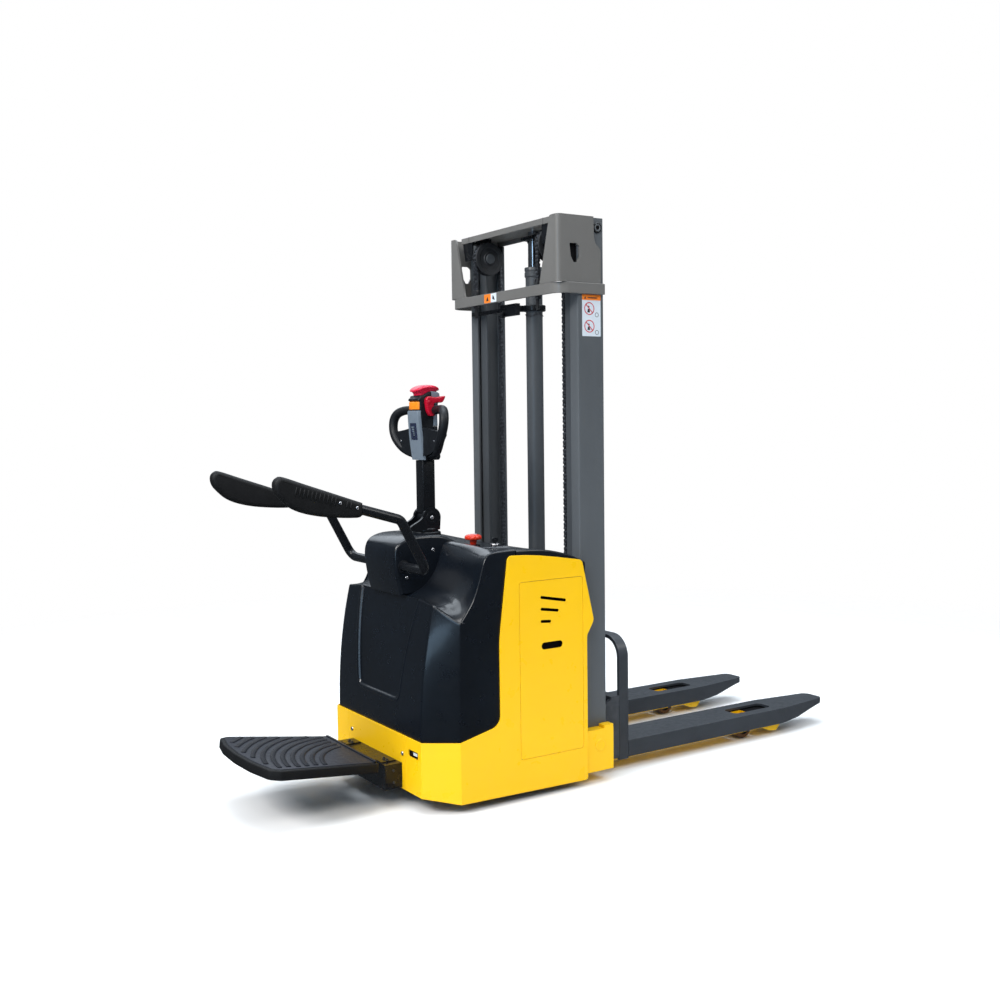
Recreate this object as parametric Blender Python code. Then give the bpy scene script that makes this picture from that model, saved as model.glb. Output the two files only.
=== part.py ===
"""Stand-on walkie stacker with a two-stage mast, folding platform and folding side arms.

Metres, +Z up. +X runs from the operator's platform to the fork tips and +Y is the machine's left.
X is measured forward from the steel skirt's rear face; new_part() then shifts every part by
-CENTRE_X, so the origin is under the middle of the whole machine.
"""
import math

import bmesh
import bpy
from mathutils import Matrix, Vector

for item in list(bpy.data.objects):
    bpy.data.objects.remove(item, do_unlink=True)

# ---- Driving dimensions -------------------------------------------------------------------
CENTRE_X = 0.7634
GAP = 0.0005                      # clearance between separate pieces
HALF_WIDTH = 0.424                # chassis, over the yellow side covers
CHAMFER_X, CHAMFER_Y = 0.114, 0.082
SHEET = 0.006                     # steel cover thickness
SKIRT_TOP = 0.254
SIDE_FRONT = 0.669
HOOD_HALF = HALF_WIDTH - SHEET - GAP
HOOD_SHELL = 0.004
HOOD_CORNER_Y = 0.334
HOOD_BREAK_Z = 0.7285             # top of the rear face at its corners

FORK_HEEL, FORK_LENGTH = 0.9335, 1.150
FORK_HALF_SPREAD, FORK_WIDTH, FORK_TIP_WIDTH = 0.3405, 0.177, 0.104
FORK_TOP, FORK_DEPTH, FORK_PLATE = 0.113, 0.066, 0.010
FORK_CENTRE = FORK_HALF_SPREAD - FORK_WIDTH / 2

MAST_REAR, MAST_FRONT = 0.674, 0.795
MAST_HALF, MAST_FLANGE = 0.375, 0.050
MAST_FOOT, MAST_TOP = 0.2055, 2.120
INNER_HALF, INNER_FLANGE = 0.3240, 0.049
INNER_REAR, INNER_FRONT = 0.6875, 0.7815
RING_LOW, RING_HIGH = 1.838, 1.878
CHEEK_TOP = 2.1225
SHEAVE_X, SHEAVE_Y, SHEAVE_Z = 0.664, 0.218, 2.033
CHAIN_RADIUS = 0.060              # sheave axis to the chain's middle
CYLINDER_X = 0.739

STEER_X = 0.229
DRIVE_WHEEL_R = 0.125
TILLER_PIVOT_Z = 1.013
THROTTLE = (0.215, 1.445)         # axis in X and Z
ARM_PIVOT_X, ARM_PIVOT_Z, ARM_Y = 0.060, 0.849, 0.299
ARM_TUBE_R = 0.0173
HINGE_X, HINGE_Z, PLATFORM_TILT = -0.088, 0.150, math.radians(7.6)
LOAD_WHEEL_X, LOAD_WHEEL_R = 1.609, 0.042
CASTER_X, CASTER_Y, CASTER_R, CASTER_TRAIL = 0.200, 0.285, 0.0625, 0.035
ESTOP = (0.346, -0.148)
KEY = (0.424, -0.177)

RIGHT_LEFT = (("right", -1), ("left", 1))


# ---- Materials ----------------------------------------------------------------------------
def material(name, colour, roughness, metallic=0.0):
    made = bpy.data.materials.new(name)
    made.use_nodes = True
    shader = made.node_tree.nodes["Principled BSDF"]
    shader.inputs["Base Color"].default_value = (*colour, 1)
    shader.inputs["Roughness"].default_value = roughness
    shader.inputs["Metallic"].default_value = metallic
    return made


YELLOW = material("yellow_paint", (0.95, 0.56, 0.02), 0.35)
BLACK_GLOSS = material("black_moulding", (0.010, 0.013, 0.020), 0.22)
MAST_PAINT = material("mast_paint", (0.16, 0.165, 0.17), 0.42)
FORK_PAINT = material("fork_paint", (0.13, 0.145, 0.17), 0.45)
BLACK_PAINT = material("black_paint", (0.012, 0.012, 0.014), 0.40)
RUBBER = material("black_rubber", (0.018, 0.018, 0.020), 0.75)
GREY_PLASTIC = material("grey_plastic", (0.17, 0.20, 0.24), 0.45)
CRIMSON = material("crimson_plastic", (0.60, 0.01, 0.06), 0.35)
ORANGE = material("orange_plastic", (0.90, 0.25, 0.02), 0.35)
ESTOP_RED = material("stop_red_plastic", (0.80, 0.05, 0.01), 0.35)
STEEL = material("bright_steel", (0.55, 0.55, 0.56), 0.25, 1.0)
CHAIN_STEEL = material("oiled_chain", (0.10, 0.10, 0.11), 0.35, 1.0)
CAST_IRON = material("cast_iron", (0.08, 0.08, 0.085), 0.55, 0.6)
POLYURETHANE = material("polyurethane_tyre", (0.12, 0.06, 0.02), 0.5)
BATTERY_CASE = material("battery_case", (0.03, 0.05, 0.10), 0.5)


# ---- Modelling helpers --------------------------------------------------------------------
def rounded(points, radius, steps=4):
    """Round the corners of a closed outline. radius is one value, or one for each corner."""
    radii = radius if isinstance(radius, (list, tuple)) else [radius] * len(points)
    outline = []
    for index, point in enumerate(points):
        corner = Vector(point)
        back = (Vector(points[index - 1]) - corner).normalized()
        ahead = (Vector(points[(index + 1) % len(points)]) - corner).normalized()
        half = back.angle(ahead) / 2
        if radii[index] == 0 or half > math.radians(89):
            outline.append(tuple(corner))
            continue
        reach = radii[index] / math.tan(half)
        centre = corner + (back + ahead).normalized() * radii[index] / math.sin(half)
        start = corner + back * reach - centre
        sweep = start.angle_signed(corner + ahead * reach - centre)
        for step in range(steps + 1):
            turn = Matrix.Rotation(-sweep * step / steps, 2)
            outline.append(tuple(centre + turn @ start))
    return outline


def circle(centre, radius, segments=24):
    turns = [2 * math.pi * i / segments for i in range(segments)]
    return [(centre[0] + radius * math.cos(a), centre[1] + radius * math.sin(a)) for a in turns]


def rectangle(low, high):
    return [(low[0], low[1]), (high[0], low[1]), (high[0], high[1]), (low[0], high[1])]


def prism(outline, axis, low, high):
    """Extrude a closed outline along one axis; its pairs are the other two axes, in order."""
    slot = "XYZ".index(axis)
    low, high = min(low, high), max(low, high)

    def point(pair, height):
        values = list(pair)
        values.insert(slot, height)
        return values

    bm = bmesh.new()
    ends = [[bm.verts.new(point(pair, level)) for pair in outline] for level in (low, high)]
    for end in ends:
        bm.faces.new(end)
    for i in range(len(outline)):
        j = (i + 1) % len(outline)
        bm.faces.new((ends[0][i], ends[0][j], ends[1][j], ends[1][i]))
    bmesh.ops.recalc_face_normals(bm, faces=bm.faces)
    return bm


def box(low, high):
    return prism(rectangle((low[0], low[1]), (high[0], high[1])), "Z", low[2], high[2])


def side_box(side, x, y, z):
    """A box on one side of the machine: y holds the two distances from the middle plane."""
    ys = sorted((side * y[0], side * y[1]))
    return box((x[0], ys[0], z[0]), (x[1], ys[1], z[1]))


def cylinder(axis, centre, radius, low, high, segments=24):
    """A cylinder along one axis; centre is its place on the other two axes, in order."""
    return prism(circle(centre, radius, segments), axis, low, high)


def lathe(axis, centre, profile, segments=32):
    """Turn a closed profile of (radius, distance along the axis) about an axis."""
    slot = "XYZ".index(axis)
    bm = bmesh.new()
    rings = []
    for radius, level in profile:
        count = segments if radius > 1e-6 else 1
        ring = []
        for a, b in circle(centre, radius, count) if count > 1 else [centre]:
            values = [a, b]
            values.insert(slot, level)
            ring.append(bm.verts.new(values))
        rings.append(ring)
    for first, second in zip(rings, rings[1:] + rings[:1]):
        if len(first) == 1 and len(second) == 1:
            continue
        for i in range(segments):
            j = (i + 1) % segments
            corners = [first[i % len(first)], first[j % len(first)]]
            corners += [second[j % len(second)], second[i % len(second)]]
            bm.faces.new(list(dict.fromkeys(corners)))
    bmesh.ops.recalc_face_normals(bm, faces=bm.faces)
    return bm


def bent_path(points, radius, steps=4):
    """A path through points whose inner corners are replaced by arcs."""
    path = [Vector(points[0])]
    for before, corner, after in zip(points, points[1:], points[2:]):
        corner = Vector(corner)
        back = (Vector(before) - corner).normalized()
        ahead = (Vector(after) - corner).normalized()
        half = back.angle(ahead) / 2
        reach = radius / math.tan(half)
        centre = corner + (back + ahead).normalized() * radius / math.sin(half)
        start = corner + back * reach - centre
        end = corner + ahead * reach - centre
        axis = start.cross(end).normalized()
        sweep = start.angle(end)
        for step in range(steps + 1):
            path.append(centre + Matrix.Rotation(sweep * step / steps, 3, axis) @ start)
    path.append(Vector(points[-1]))
    return path


def tube(path, radius, segments=16):
    """A round bar along a path, with flat ends."""
    bm = bmesh.new()
    rings = []
    normal = None
    for index, point in enumerate(path):
        ahead = path[min(index + 1, len(path) - 1)] - path[max(index - 1, 0)]
        ahead.normalize()
        if normal is None:
            normal = ahead.orthogonal().normalized()
        normal = (normal - ahead * normal.dot(ahead)).normalized()
        side = ahead.cross(normal)
        ring = []
        for i in range(segments):
            turn = 2 * math.pi * i / segments
            ring.append(bm.verts.new(point + (normal * math.cos(turn) + side * math.sin(turn)) * radius))
        rings.append(ring)
    for first, second in zip(rings, rings[1:]):
        for i in range(segments):
            j = (i + 1) % segments
            bm.faces.new((first[i], first[j], second[j], second[i]))
    bm.faces.new(rings[0])
    bm.faces.new(rings[-1])
    bmesh.ops.recalc_face_normals(bm, faces=bm.faces)
    return bm


def sheet(columns):
    """An open surface through columns of points, each column with the same number of points."""
    bm = bmesh.new()
    grid = [[bm.verts.new(point) for point in column] for column in columns]
    for first, second in zip(grid, grid[1:]):
        for a, b, c, d in zip(first, first[1:], second[1:], second):
            bm.faces.new((a, b, c, d))
    return bm


def held(bm):
    mesh = bpy.data.meshes.new("shape")
    bm.to_mesh(mesh)
    bm.free()
    shape = bpy.data.objects.new("shape", mesh)
    bpy.context.scene.collection.objects.link(shape)
    return shape


def evaluated(shape):
    """The mesh of a helper object with its modifiers applied, as a new bmesh."""
    bpy.context.view_layer.update()
    depsgraph = bpy.context.evaluated_depsgraph_get()
    mesh = bpy.data.meshes.new_from_object(shape.evaluated_get(depsgraph))
    bm = bmesh.new()
    bm.from_mesh(mesh)
    bpy.data.meshes.remove(mesh)
    return bm


def combine(base, others, operation="UNION"):
    """Boolean a list of solids onto, or out of, a base solid."""
    target = held(base)
    tools = [held(other) for other in others]
    for tool in tools:
        step = target.modifiers.new("combine", "BOOLEAN")
        step.operation = operation
        step.solver = "EXACT"
        step.object = tool
    result = evaluated(target)
    for helper in [target] + tools:
        bpy.data.objects.remove(helper, do_unlink=True)
    return result


def cut(base, cutters):
    return combine(base, cutters, "DIFFERENCE")


def shell(surface, thickness, towards):
    """Thicken an open surface into a wall on the side that faces the point `towards`."""
    bmesh.ops.recalc_face_normals(surface, faces=surface.faces)
    outward = sum((f.normal.dot(f.calc_center_median() - Vector(towards)) * f.calc_area())
                  for f in surface.faces)
    if outward < 0:
        bmesh.ops.reverse_faces(surface, faces=surface.faces)
    helper = held(surface)
    wall = helper.modifiers.new("wall", "SOLIDIFY")
    wall.thickness = thickness
    wall.offset = -1
    wall.use_even_offset = True
    result = evaluated(helper)
    bpy.data.objects.remove(helper, do_unlink=True)
    return result


def bevelled(bm, width, segments=1):
    """Bevel a solid's sharp edges before it is bored or joined to something else."""
    helper = held(bm)
    edge = helper.modifiers.new("edge", "BEVEL")
    edge.width = width
    edge.segments = segments
    edge.limit_method = "ANGLE"
    edge.angle_limit = math.radians(40)
    result = evaluated(helper)
    bpy.data.objects.remove(helper, do_unlink=True)
    return result


def new_part(name, bm, look, pivot=(0, 0, 0), bevel=0.0, smooth=None, segments=1):
    """Store a solid as a named object whose origin is its joint's axis or the machine's datum."""
    bmesh.ops.remove_doubles(bm, verts=bm.verts, dist=0.00002)
    bmesh.ops.translate(bm, verts=bm.verts, vec=-Vector(pivot))
    mesh = bpy.data.meshes.new(name)
    bm.to_mesh(mesh)
    bm.free()
    part = bpy.data.objects.new(name, mesh)
    part.location = Vector(pivot) - Vector((CENTRE_X, 0, 0))
    mesh.materials.append(look)
    bpy.context.scene.collection.objects.link(part)
    if bevel:
        edge = part.modifiers.new("edge", "BEVEL")
        edge.width = bevel
        edge.segments = segments
        edge.limit_method = "ANGLE"
        edge.angle_limit = math.radians(40)
        edge.use_clamp_overlap = True
    if smooth:
        mesh.shade_smooth()
        mesh.set_sharp_from_angle(angle=math.radians(smooth))
    return part


def blend(table, x):
    """Read a smooth curve given as rising (x, value) pairs."""
    if x <= table[0][0]:
        return table[0][1]
    for (x0, v0), (x1, v1) in zip(table, table[1:]):
        if x <= x1:
            return v0 + (v1 - v0) * (x - x0) / (x1 - x0)
    return table[-1][1]


def resample(points, count):
    """Spread a number of points evenly along a polyline."""
    points = [Vector(p) for p in points]
    lengths = [0.0]
    for a, b in zip(points, points[1:]):
        lengths.append(lengths[-1] + (b - a).length)
    spread = []
    for i in range(count):
        goal = lengths[-1] * i / (count - 1)
        k = max(j for j in range(len(points) - 1) if lengths[j] <= goal + 1e-9)
        share = (goal - lengths[k]) / (lengths[k + 1] - lengths[k])
        spread.append(points[k].lerp(points[k + 1], min(share, 1.0)))
    return spread


# ---- Steel base frame and skirt -----------------------------------------------------------
def base_frame():
    """Floor plate on side rails, with the drive unit's round opening and the mast bulkhead."""
    floor_half = 0.398
    plan = [(0.012, -0.320), (0.115, -floor_half), (0.655, -floor_half)]
    plan += [(x, -y) for x, y in reversed(plan)]
    floor = prism(plan, "Z", 0.190, 0.200)
    pieces = [box((0.620, -floor_half, 0.050), (0.655, floor_half, 0.195)),
              box((0.647, -0.355, 0.195), (0.655, 0.355, 0.840)),
              box((0.012, -0.230, 0.060), (0.024, 0.230, 0.195))]
    pieces += [side_box(side, (0.330, 0.625), (0.362, floor_half), (0.050, 0.195)) for side in (-1, 1)]
    frame = combine(floor, pieces)
    frame = cut(frame, [cylinder("Z", (STEER_X, 0), 0.136, 0.15, 0.25, 32)])
    new_part("base_frame", frame, BLACK_PAINT, bevel=0.0015)


def rear_skirt():
    plate = box((0, -0.2335, 0.056), (SHEET, 0.2335, SKIRT_TOP))
    holes = [cylinder("X", (y, 0.187), 0.007, -0.01, 0.02, 12) for y in (-0.205, 0.205)]
    new_part("rear_skirt", cut(plate, holes), YELLOW, bevel=0.001)


# ---- Yellow side covers and their lift-off access panels ----------------------------------
PANEL = dict(x=(0.366, 0.650), z=(0.150, 0.797))


def side_cover(name, side):
    """One folded sheet: rear return, chamfer, skirt and the tall side with its bulged front."""
    rear_low, chamfer_low, front_low = 0.056, 0.034, 0.025
    profile = [(CHAMFER_X, chamfer_low), (SIDE_FRONT, front_low), (SIDE_FRONT, 0.573), (0.6965, 0.618),
               (0.700, 0.637), (0.651, 0.845), (0.638, 0.855), (0.590, 0.866), (0.529, 0.876),
               (0.460, 0.886), (0.397, 0.8925), (0.340, 0.895), (0.326, 0.892), (0.318, 0.880),
               (0.281, 0.600), (0.281, 0.345), (0.276, 0.315), (0.262, 0.294), (0.235, 0.283),
               (CHAMFER_X, SKIRT_TOP)]
    bm = bmesh.new()
    tall = [bm.verts.new((x, side * HALF_WIDTH, z)) for x, z in profile]
    corner = [bm.verts.new((0, side * (HALF_WIDTH - CHAMFER_Y), z)) for z in (rear_low, SKIRT_TOP)]
    end = [bm.verts.new((0, side * 0.2345, z)) for z in (rear_low, SKIRT_TOP)]
    bm.faces.new(tall)
    bm.faces.new((tall[0], tall[-1], corner[1], corner[0]))
    bm.faces.new((corner[0], corner[1], end[1], end[0]))
    cover = shell(bm, SHEET, (0.35, 0, 0.4))
    opening = side_box(side, PANEL["x"], (0.40, 0.44), PANEL["z"])
    cutters = [opening]
    if side < 0:
        cutters.append(box((-0.01, -0.318, 0.188), (0.02, -0.248, 0.213)))
    new_part(name, cut(cover, cutters), YELLOW)


def access_panel(name, side):
    """The lift-off panel in a side cover, with three vent slots and a hand slot."""
    edge = 0.0012
    (x0, x1), (z0, z1) = PANEL["x"], PANEL["z"]
    plate = side_box(side, (x0 + edge, x1 - edge), (0.4190, 0.4235), (z0 + edge, z1 - edge))
    slots = [(0.459, 0.574, 0.7350, 0.7135, 0.0055), (0.459, 0.541, 0.6920, 0.6790, 0.0055),
             (0.459, 0.506, 0.6465, 0.6425, 0.0055), (0.462, 0.557, 0.5550, 0.5550, 0.0130)]
    cutters = []
    for start, end, start_z, end_z, radius in slots:
        tilt = math.atan2(end_z - start_z, end - start)
        outline = []
        for x, z, turn in ((end, end_z, tilt - math.pi / 2), (start, start_z, tilt + math.pi / 2)):
            inset = radius if turn < tilt else -radius
            for step in range(7):
                angle = turn + math.pi * step / 6
                outline.append((x - inset + radius * math.cos(angle), z + radius * math.sin(angle)))
        cutters.append(prism(outline, "Y", side * 0.40, side * 0.44))
    new_part(name, cut(plate, cutters), YELLOW)


# ---- Black moulded hood: rear cover, top cover and battery lid -------------------------------
def rear_face_x(z):
    """The rear face leans forward more and more towards its top."""
    rise = max(0.0, (z - SKIRT_TOP) / (HOOD_BREAK_Z - SKIRT_TOP))
    return 0.0065 + 0.0545 * rise ** 2.2


WING_EDGE = [(0.1245, 0.6695), (0.150, 0.703), (0.174, 0.738), (0.190, 0.775), (0.204, 0.813),
             (0.215, 0.849), (0.226, 0.882), (0.243, 0.902), (0.277, 0.909), (0.3555, 0.9115)]


def hood_columns(side):
    """Columns of the rear cover from its middle round one corner to the end of its side."""
    rows = 7
    low = SKIRT_TOP + GAP
    columns = []
    for y in (0.0, 0.115, 0.235, HOOD_CORNER_Y - 0.012, HOOD_CORNER_Y):
        top = HOOD_BREAK_Z + (0.010 if y < 0.25 else 0.002 if y < HOOD_CORNER_Y else 0)
        heights = [low + (top - low) * r / (rows - 1) for r in range(rows)]
        columns.append([(rear_face_x(z), side * y, z) for z in heights])
    for share in (0.10, 0.5, 0.94, 1.0):
        y = HOOD_CORNER_Y + (HOOD_HALF - HOOD_CORNER_Y) * share
        top = HOOD_BREAK_Z + (WING_EDGE[0][1] - HOOD_BREAK_Z) * share
        column = []
        for r in range(rows):
            z = low + (top - low) * r / (rows - 1)
            side_x = CHAMFER_X + 0.0015 + 0.009 * r / (rows - 1)
            column.append((rear_face_x(z) * (1 - share) + side_x * share, side * y, z))
        columns.append(column)
    for x, top in WING_EDGE[1:]:
        columns.append([(x, side * HOOD_HALF, low + (top - low) * r / (rows - 1)) for r in range(rows)])
    return columns


def rear_cover():
    half = hood_columns(1)
    columns = [[(x, -y, z) for x, y, z in column] for column in reversed(half[1:])] + half
    cover = shell(sheet(columns), HOOD_SHELL, (0.3, 0, 0.45))
    new_part("rear_cover", cover, BLACK_GLOSS, smooth=30)


CREST = [(0.06, 0.945), (0.10, 0.955), (0.15, 0.957), (0.23, 0.951), (0.28, 0.930), (0.32, 0.911),
         (0.36, 0.9025), (0.42, 0.899), (0.47, 0.896), (0.55, 0.886), (0.60, 0.875), (0.665, 0.855)]
SIDE_CREST = [(0.277, 0.909), (0.345, 0.912), (0.42, 0.911), (0.485, 0.906), (0.55, 0.893),
              (0.611, 0.875), (0.665, 0.849)]
LID_START = [(0.0, 0.470), (0.300, 0.470), (0.345, 0.358), (0.42, 0.358)]
HOUSING_HALF = 0.126


def deck_z(x, y):
    share = min(1.0, abs(y) / 0.4130) ** 2
    return blend(CREST, x) * (1 - share) + blend(SIDE_CREST, x) * share


def deck_run(start, y):
    end = blend(LID_START, abs(y)) - 2 * GAP
    return [(start + (end - start) * i / 5, deck_z(start + (end - start) * i / 5, y)) for i in range(6)]


def top_profile(y):
    """The top cover's outline in X and Z at one distance from the middle plane."""
    y = abs(y)
    if y <= HOUSING_HALF + 1e-6:
        nose = [(0.0700, 0.7415), (0.049, 0.7415), (0.037, 0.790), (0.028, 0.840), (0.025, 0.885),
                (0.031, 0.915), (0.045, 0.935), (0.070, 0.948), (0.105, 0.9555), (0.15, 0.957)]
        sink = 0.010 if y > HOUSING_HALF - 0.001 else 0.0
        nose = [(x + 0.4 * sink, z - sink * (i > 4)) for i, (x, z) in enumerate(nose)]
        return nose + [(x, z - sink * (x < 0.3)) for x, z in deck_run(0.19, y)]
    scoops = {
        0.130: [(0.0685, 0.7415), (0.105, 0.752), (0.155, 0.780), (0.196, 0.835), (0.218, 0.895),
                (0.238, 0.925)],
        0.250: [(0.0685, 0.7400), (0.105, 0.747), (0.155, 0.768), (0.202, 0.825), (0.228, 0.882),
                (0.252, 0.911)],
        0.334: [(0.0685, 0.7310), (0.108, 0.733), (0.158, 0.752), (0.203, 0.812), (0.229, 0.878),
                (0.252, 0.904)],
        0.375: [(0.098, 0.7030), (0.130, 0.712), (0.168, 0.742), (0.206, 0.812), (0.229, 0.880),
                (0.252, 0.905)],
        0.413: [(0.1290, 0.6695), (0.152, 0.703), (0.176, 0.738), (0.205, 0.812), (0.228, 0.881),
                (0.250, 0.904)],
    }
    stations = sorted(scoops)
    upper = next(s for s in stations if s >= y - 1e-6)
    lower = stations[max(0, stations.index(upper) - 1)]
    share = 0 if upper == lower else (y - lower) / (upper - lower)
    wall = [tuple(Vector(a).lerp(Vector(b), share)) for a, b in zip(scoops[lower], scoops[upper])]
    return wall + deck_run(0.285, y)


def top_cover():
    """Arm housing, the scoops beside it and the deck, as one moulding."""
    rows = 18
    ys = [0.0, 0.105, 0.126, 0.130, 0.18, 0.25, 0.300, 0.334, 0.345, 0.375, 0.413]
    ys = [-y for y in reversed(ys[1:])] + ys
    columns = [[(p.x, y, p.y) for p in resample(top_profile(y), rows)] for y in ys]
    cover = shell(sheet(columns), HOOD_SHELL, (0.3, 0, 0.3))
    holes = [cylinder("Z", (STEER_X, 0), 0.048, 0.80, 1.05, 24), cylinder("Z", ESTOP, 0.0245, 0.80, 1.05, 16),
             cylinder("Z", KEY, 0.0165, 0.80, 1.05, 16),
             cylinder("Y", (ARM_PIVOT_X, ARM_PIVOT_Z), 0.0195, -0.20, 0.20, 16)]
    new_part("top_cover", cut(cover, holes), BLACK_GLOSS, smooth=40)


def battery_lid():
    """The lift-off lid over the battery, with a skirt down its sides and front."""
    columns = []
    inner = [0.0, 0.10, 0.20, 0.300, 0.345, 0.385, 0.410, HOOD_HALF]
    for y in [-y for y in reversed(inner[1:])] + inner:
        start = blend(LID_START, abs(y)) + 2 * GAP
        edge = abs(y) == HOOD_HALF
        xs = [start + (0.6645 - start) * i / 7 for i in range(8)]
        column = [(x, y, deck_z(x, y) - (0.004 if edge else 0)) for x in xs]
        columns.append(column + [(0.6655, y, column[-1][2] - 0.050)])
    for end, near in ((0, 0), (-1, -1)):
        side = [(x, y, z - 0.045) for x, y, z in columns[near][:-1]] + [columns[near][-1]]
        side[-1] = (side[-1][0], side[-1][1], side[-1][2] - 0.010)
        if end == 0:
            columns.insert(0, side)
        else:
            columns.append(side)
    lid = shell(sheet(columns), HOOD_SHELL, (0.5, 0, 0.3))
    new_part("battery_lid", lid, BLACK_GLOSS, smooth=40)


# ---- What the hood holds -------------------------------------------------------------------
def internals():
    cross = cylinder("Y", (ARM_PIVOT_X, ARM_PIVOT_Z), 0.026, -0.112, 0.112, 20)
    post = box((0.0735, -0.045, 0.2005), (0.0855, 0.045, 0.860))
    bores = [cylinder("Y", (ARM_PIVOT_X, ARM_PIVOT_Z), 0.0178, side * 0.030, side * 0.13, 16)
             for side in (-1, 1)]
    new_part("arm_bracket", cut(combine(cross, [post]), bores), BLACK_PAINT)

    case = box((0.358, -0.330, 0.2005), (0.640, 0.330, 0.760))
    lugs = [box((0.40, y - 0.02, 0.755), (0.59, y + 0.02, 0.775)) for y in (-0.24, -0.08, 0.08, 0.24)]
    new_part("battery", combine(case, lugs), BATTERY_CASE, bevel=0.003)

    tank = box((0.105, 0.175, 0.2005), (0.215, 0.330, 0.350))
    motor = cylinder("X", (0.255, 0.290), 0.055, 0.210, 0.335, 20)
    valve = box((0.130, 0.200, 0.345), (0.190, 0.280, 0.400))
    new_part("pump_unit", combine(tank, [motor, valve]), CAST_IRON)

    plate = box((0.300, -0.225, 0.8600), (0.455, -0.105, 0.8640))
    pieces = [cylinder("Z", ESTOP, 0.0235, 0.862, 0.9120, 16), cylinder("Z", KEY, 0.0155, 0.862, 0.9110, 16)]
    bores = [cylinder("Z", ESTOP, 0.0125, 0.84, 0.93, 16), cylinder("Z", KEY, 0.0065, 0.84, 0.93, 12)]
    new_part("dash_panel", cut(combine(plate, pieces), bores), BLACK_PAINT)


# ---- Straddle legs -------------------------------------------------------------------------
def leg(name, side):
    middle = FORK_CENTRE
    beam = side_box(side, (0.6555, 1.700), (middle - 0.0625, middle + 0.0625), (0.036, 0.097))
    nose = [(1.690, 0.036), (1.738, 0.018), (1.778, 0.013), (1.802, 0.040), (1.802, 0.072), (1.775, 0.097),
            (1.690, 0.097)]
    nose = prism(nose, "Y", side * (middle - 0.0625), side * (middle + 0.0625))
    link = side_box(side, (0.6555, 0.797), (middle - 0.0600, 0.415), (0.045, 0.0965))
    block = side_box(side, (0.672, 0.797), (0.3455, 0.415), (0.046, 0.205))
    tab = side_box(side, (0.755, 0.7965), (0.3795, 0.4145), (0.200, 0.217))
    boss = cylinder("Y", (0.734, 0.144), 0.0225, side * 0.410, side * 0.4175, 20)
    solid = combine(beam, [nose, link, block, tab, boss])
    slot = side_box(side, (LOAD_WHEEL_X - 0.053, LOAD_WHEEL_X + 0.053), (middle - 0.040, middle + 0.040),
                    (0.0, 0.2))
    axle = cylinder("Y", (LOAD_WHEEL_X, LOAD_WHEEL_R), 0.009,
                    side * (middle - 0.05), side * (middle + 0.05), 16)
    new_part(name, combine(cut(solid, [slot]), [axle]), YELLOW, bevel=0.002)


def load_wheel(name, side):
    middle, half = side * FORK_CENTRE, 0.0375
    profile = [(0.0095, -half), (LOAD_WHEEL_R - 0.003, -half), (LOAD_WHEEL_R, -half + 0.003),
               (LOAD_WHEEL_R, half - 0.003), (LOAD_WHEEL_R - 0.003, half), (0.0095, half)]
    profile = [(r, middle + level) for r, level in profile]
    wheel = lathe("Y", (LOAD_WHEEL_X, LOAD_WHEEL_R), profile, 32)
    new_part(name, wheel, POLYURETHANE, pivot=(LOAD_WHEEL_X, middle, LOAD_WHEEL_R), smooth=40)


# ---- Outer mast ----------------------------------------------------------------------------
def channel(rear, front, outer, flange, web, lip):
    """Section of a channel open towards the middle plane, as (x, distance from the middle)."""
    inner = outer - flange
    return [(rear, inner), (rear + lip, inner), (rear + lip, outer - web), (front - lip, outer - web),
            (front - lip, inner), (front, inner), (front, outer), (rear, outer)]


def outer_mast():
    section = channel(MAST_REAR, MAST_FRONT, MAST_HALF, MAST_FLANGE, 0.009, 0.012)
    for word, side in RIGHT_LEFT:
        outline = [(x, side * y) for x, y in section]
        new_part("mast_channel_" + word, prism(outline, "Z", MAST_FOOT, MAST_TOP), MAST_PAINT, bevel=0.0025)
        plate = [(0.5785, RING_HIGH + GAP), (0.776, RING_HIGH + GAP), (0.776, 1.990), (0.768, 2.012),
                 (0.752, 2.024), (0.745, 2.045), (0.743, CHEEK_TOP - 0.006), (0.5785, CHEEK_TOP)]
        side_plate = prism(plate, "Y", side * (MAST_HALF + GAP), side * (MAST_HALF + 0.0085))
        edge = MAST_HALF + 0.0080
        flange = [(side * edge, RING_HIGH + GAP), (side * edge, CHEEK_TOP), (side * 0.330, CHEEK_TOP),
                  (side * 0.3255, 2.095), (side * 0.266, RING_HIGH + GAP)]
        flange = prism(flange, "X", 0.5785, 0.5865)
        cheek = combine(side_plate, [flange])
        drop = [(0.632, 2.018), (0.664, 2.020), (0.677, 2.010), (0.677, 1.972), (0.664, 1.950),
                (0.650, 1.950), (0.638, 1.972)]
        hole = prism(rounded(drop, 0.006, 2), "Y", side * 0.3, side * 0.45)
        new_part("cheek_" + word, cut(cheek, [hole]), MAST_PAINT, bevel=0.003)


def mast_ring():
    """U-shaped flat bar round the mast head, with the tabs and rods that anchor the chains."""
    def plan(outer, rear, radius):
        corners = [(0.793, -outer), (rear, -outer), (rear, outer), (0.793, outer)]
        return rounded(corners, [0, radius, radius, 0], 6)

    thick = 0.0120
    outer = MAST_HALF + GAP + thick
    bar = plan(outer, 0.5780, 0.058)
    inner = list(reversed(plan(outer - thick, 0.5780 + thick, 0.046)))
    ring = prism(bar + inner, "Z", RING_LOW, RING_HIGH)
    pieces = []
    for side in (-1, 1):
        x = SHEAVE_X - CHAIN_RADIUS
        pieces.append(side_box(side, (0.585, x + 0.016), (SHEAVE_Y - 0.018, SHEAVE_Y + 0.018),
                               (1.848, 1.864)))
        pieces.append(cylinder("Z", (x, side * SHEAVE_Y), 0.0075, 1.790, 1.9045, 12))
        pieces.append(cylinder("Z", (x, side * SHEAVE_Y), 0.0130, 1.828, 1.850, 6))
    new_part("mast_ring", combine(ring, pieces), MAST_PAINT, bevel=0.0015)


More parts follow.
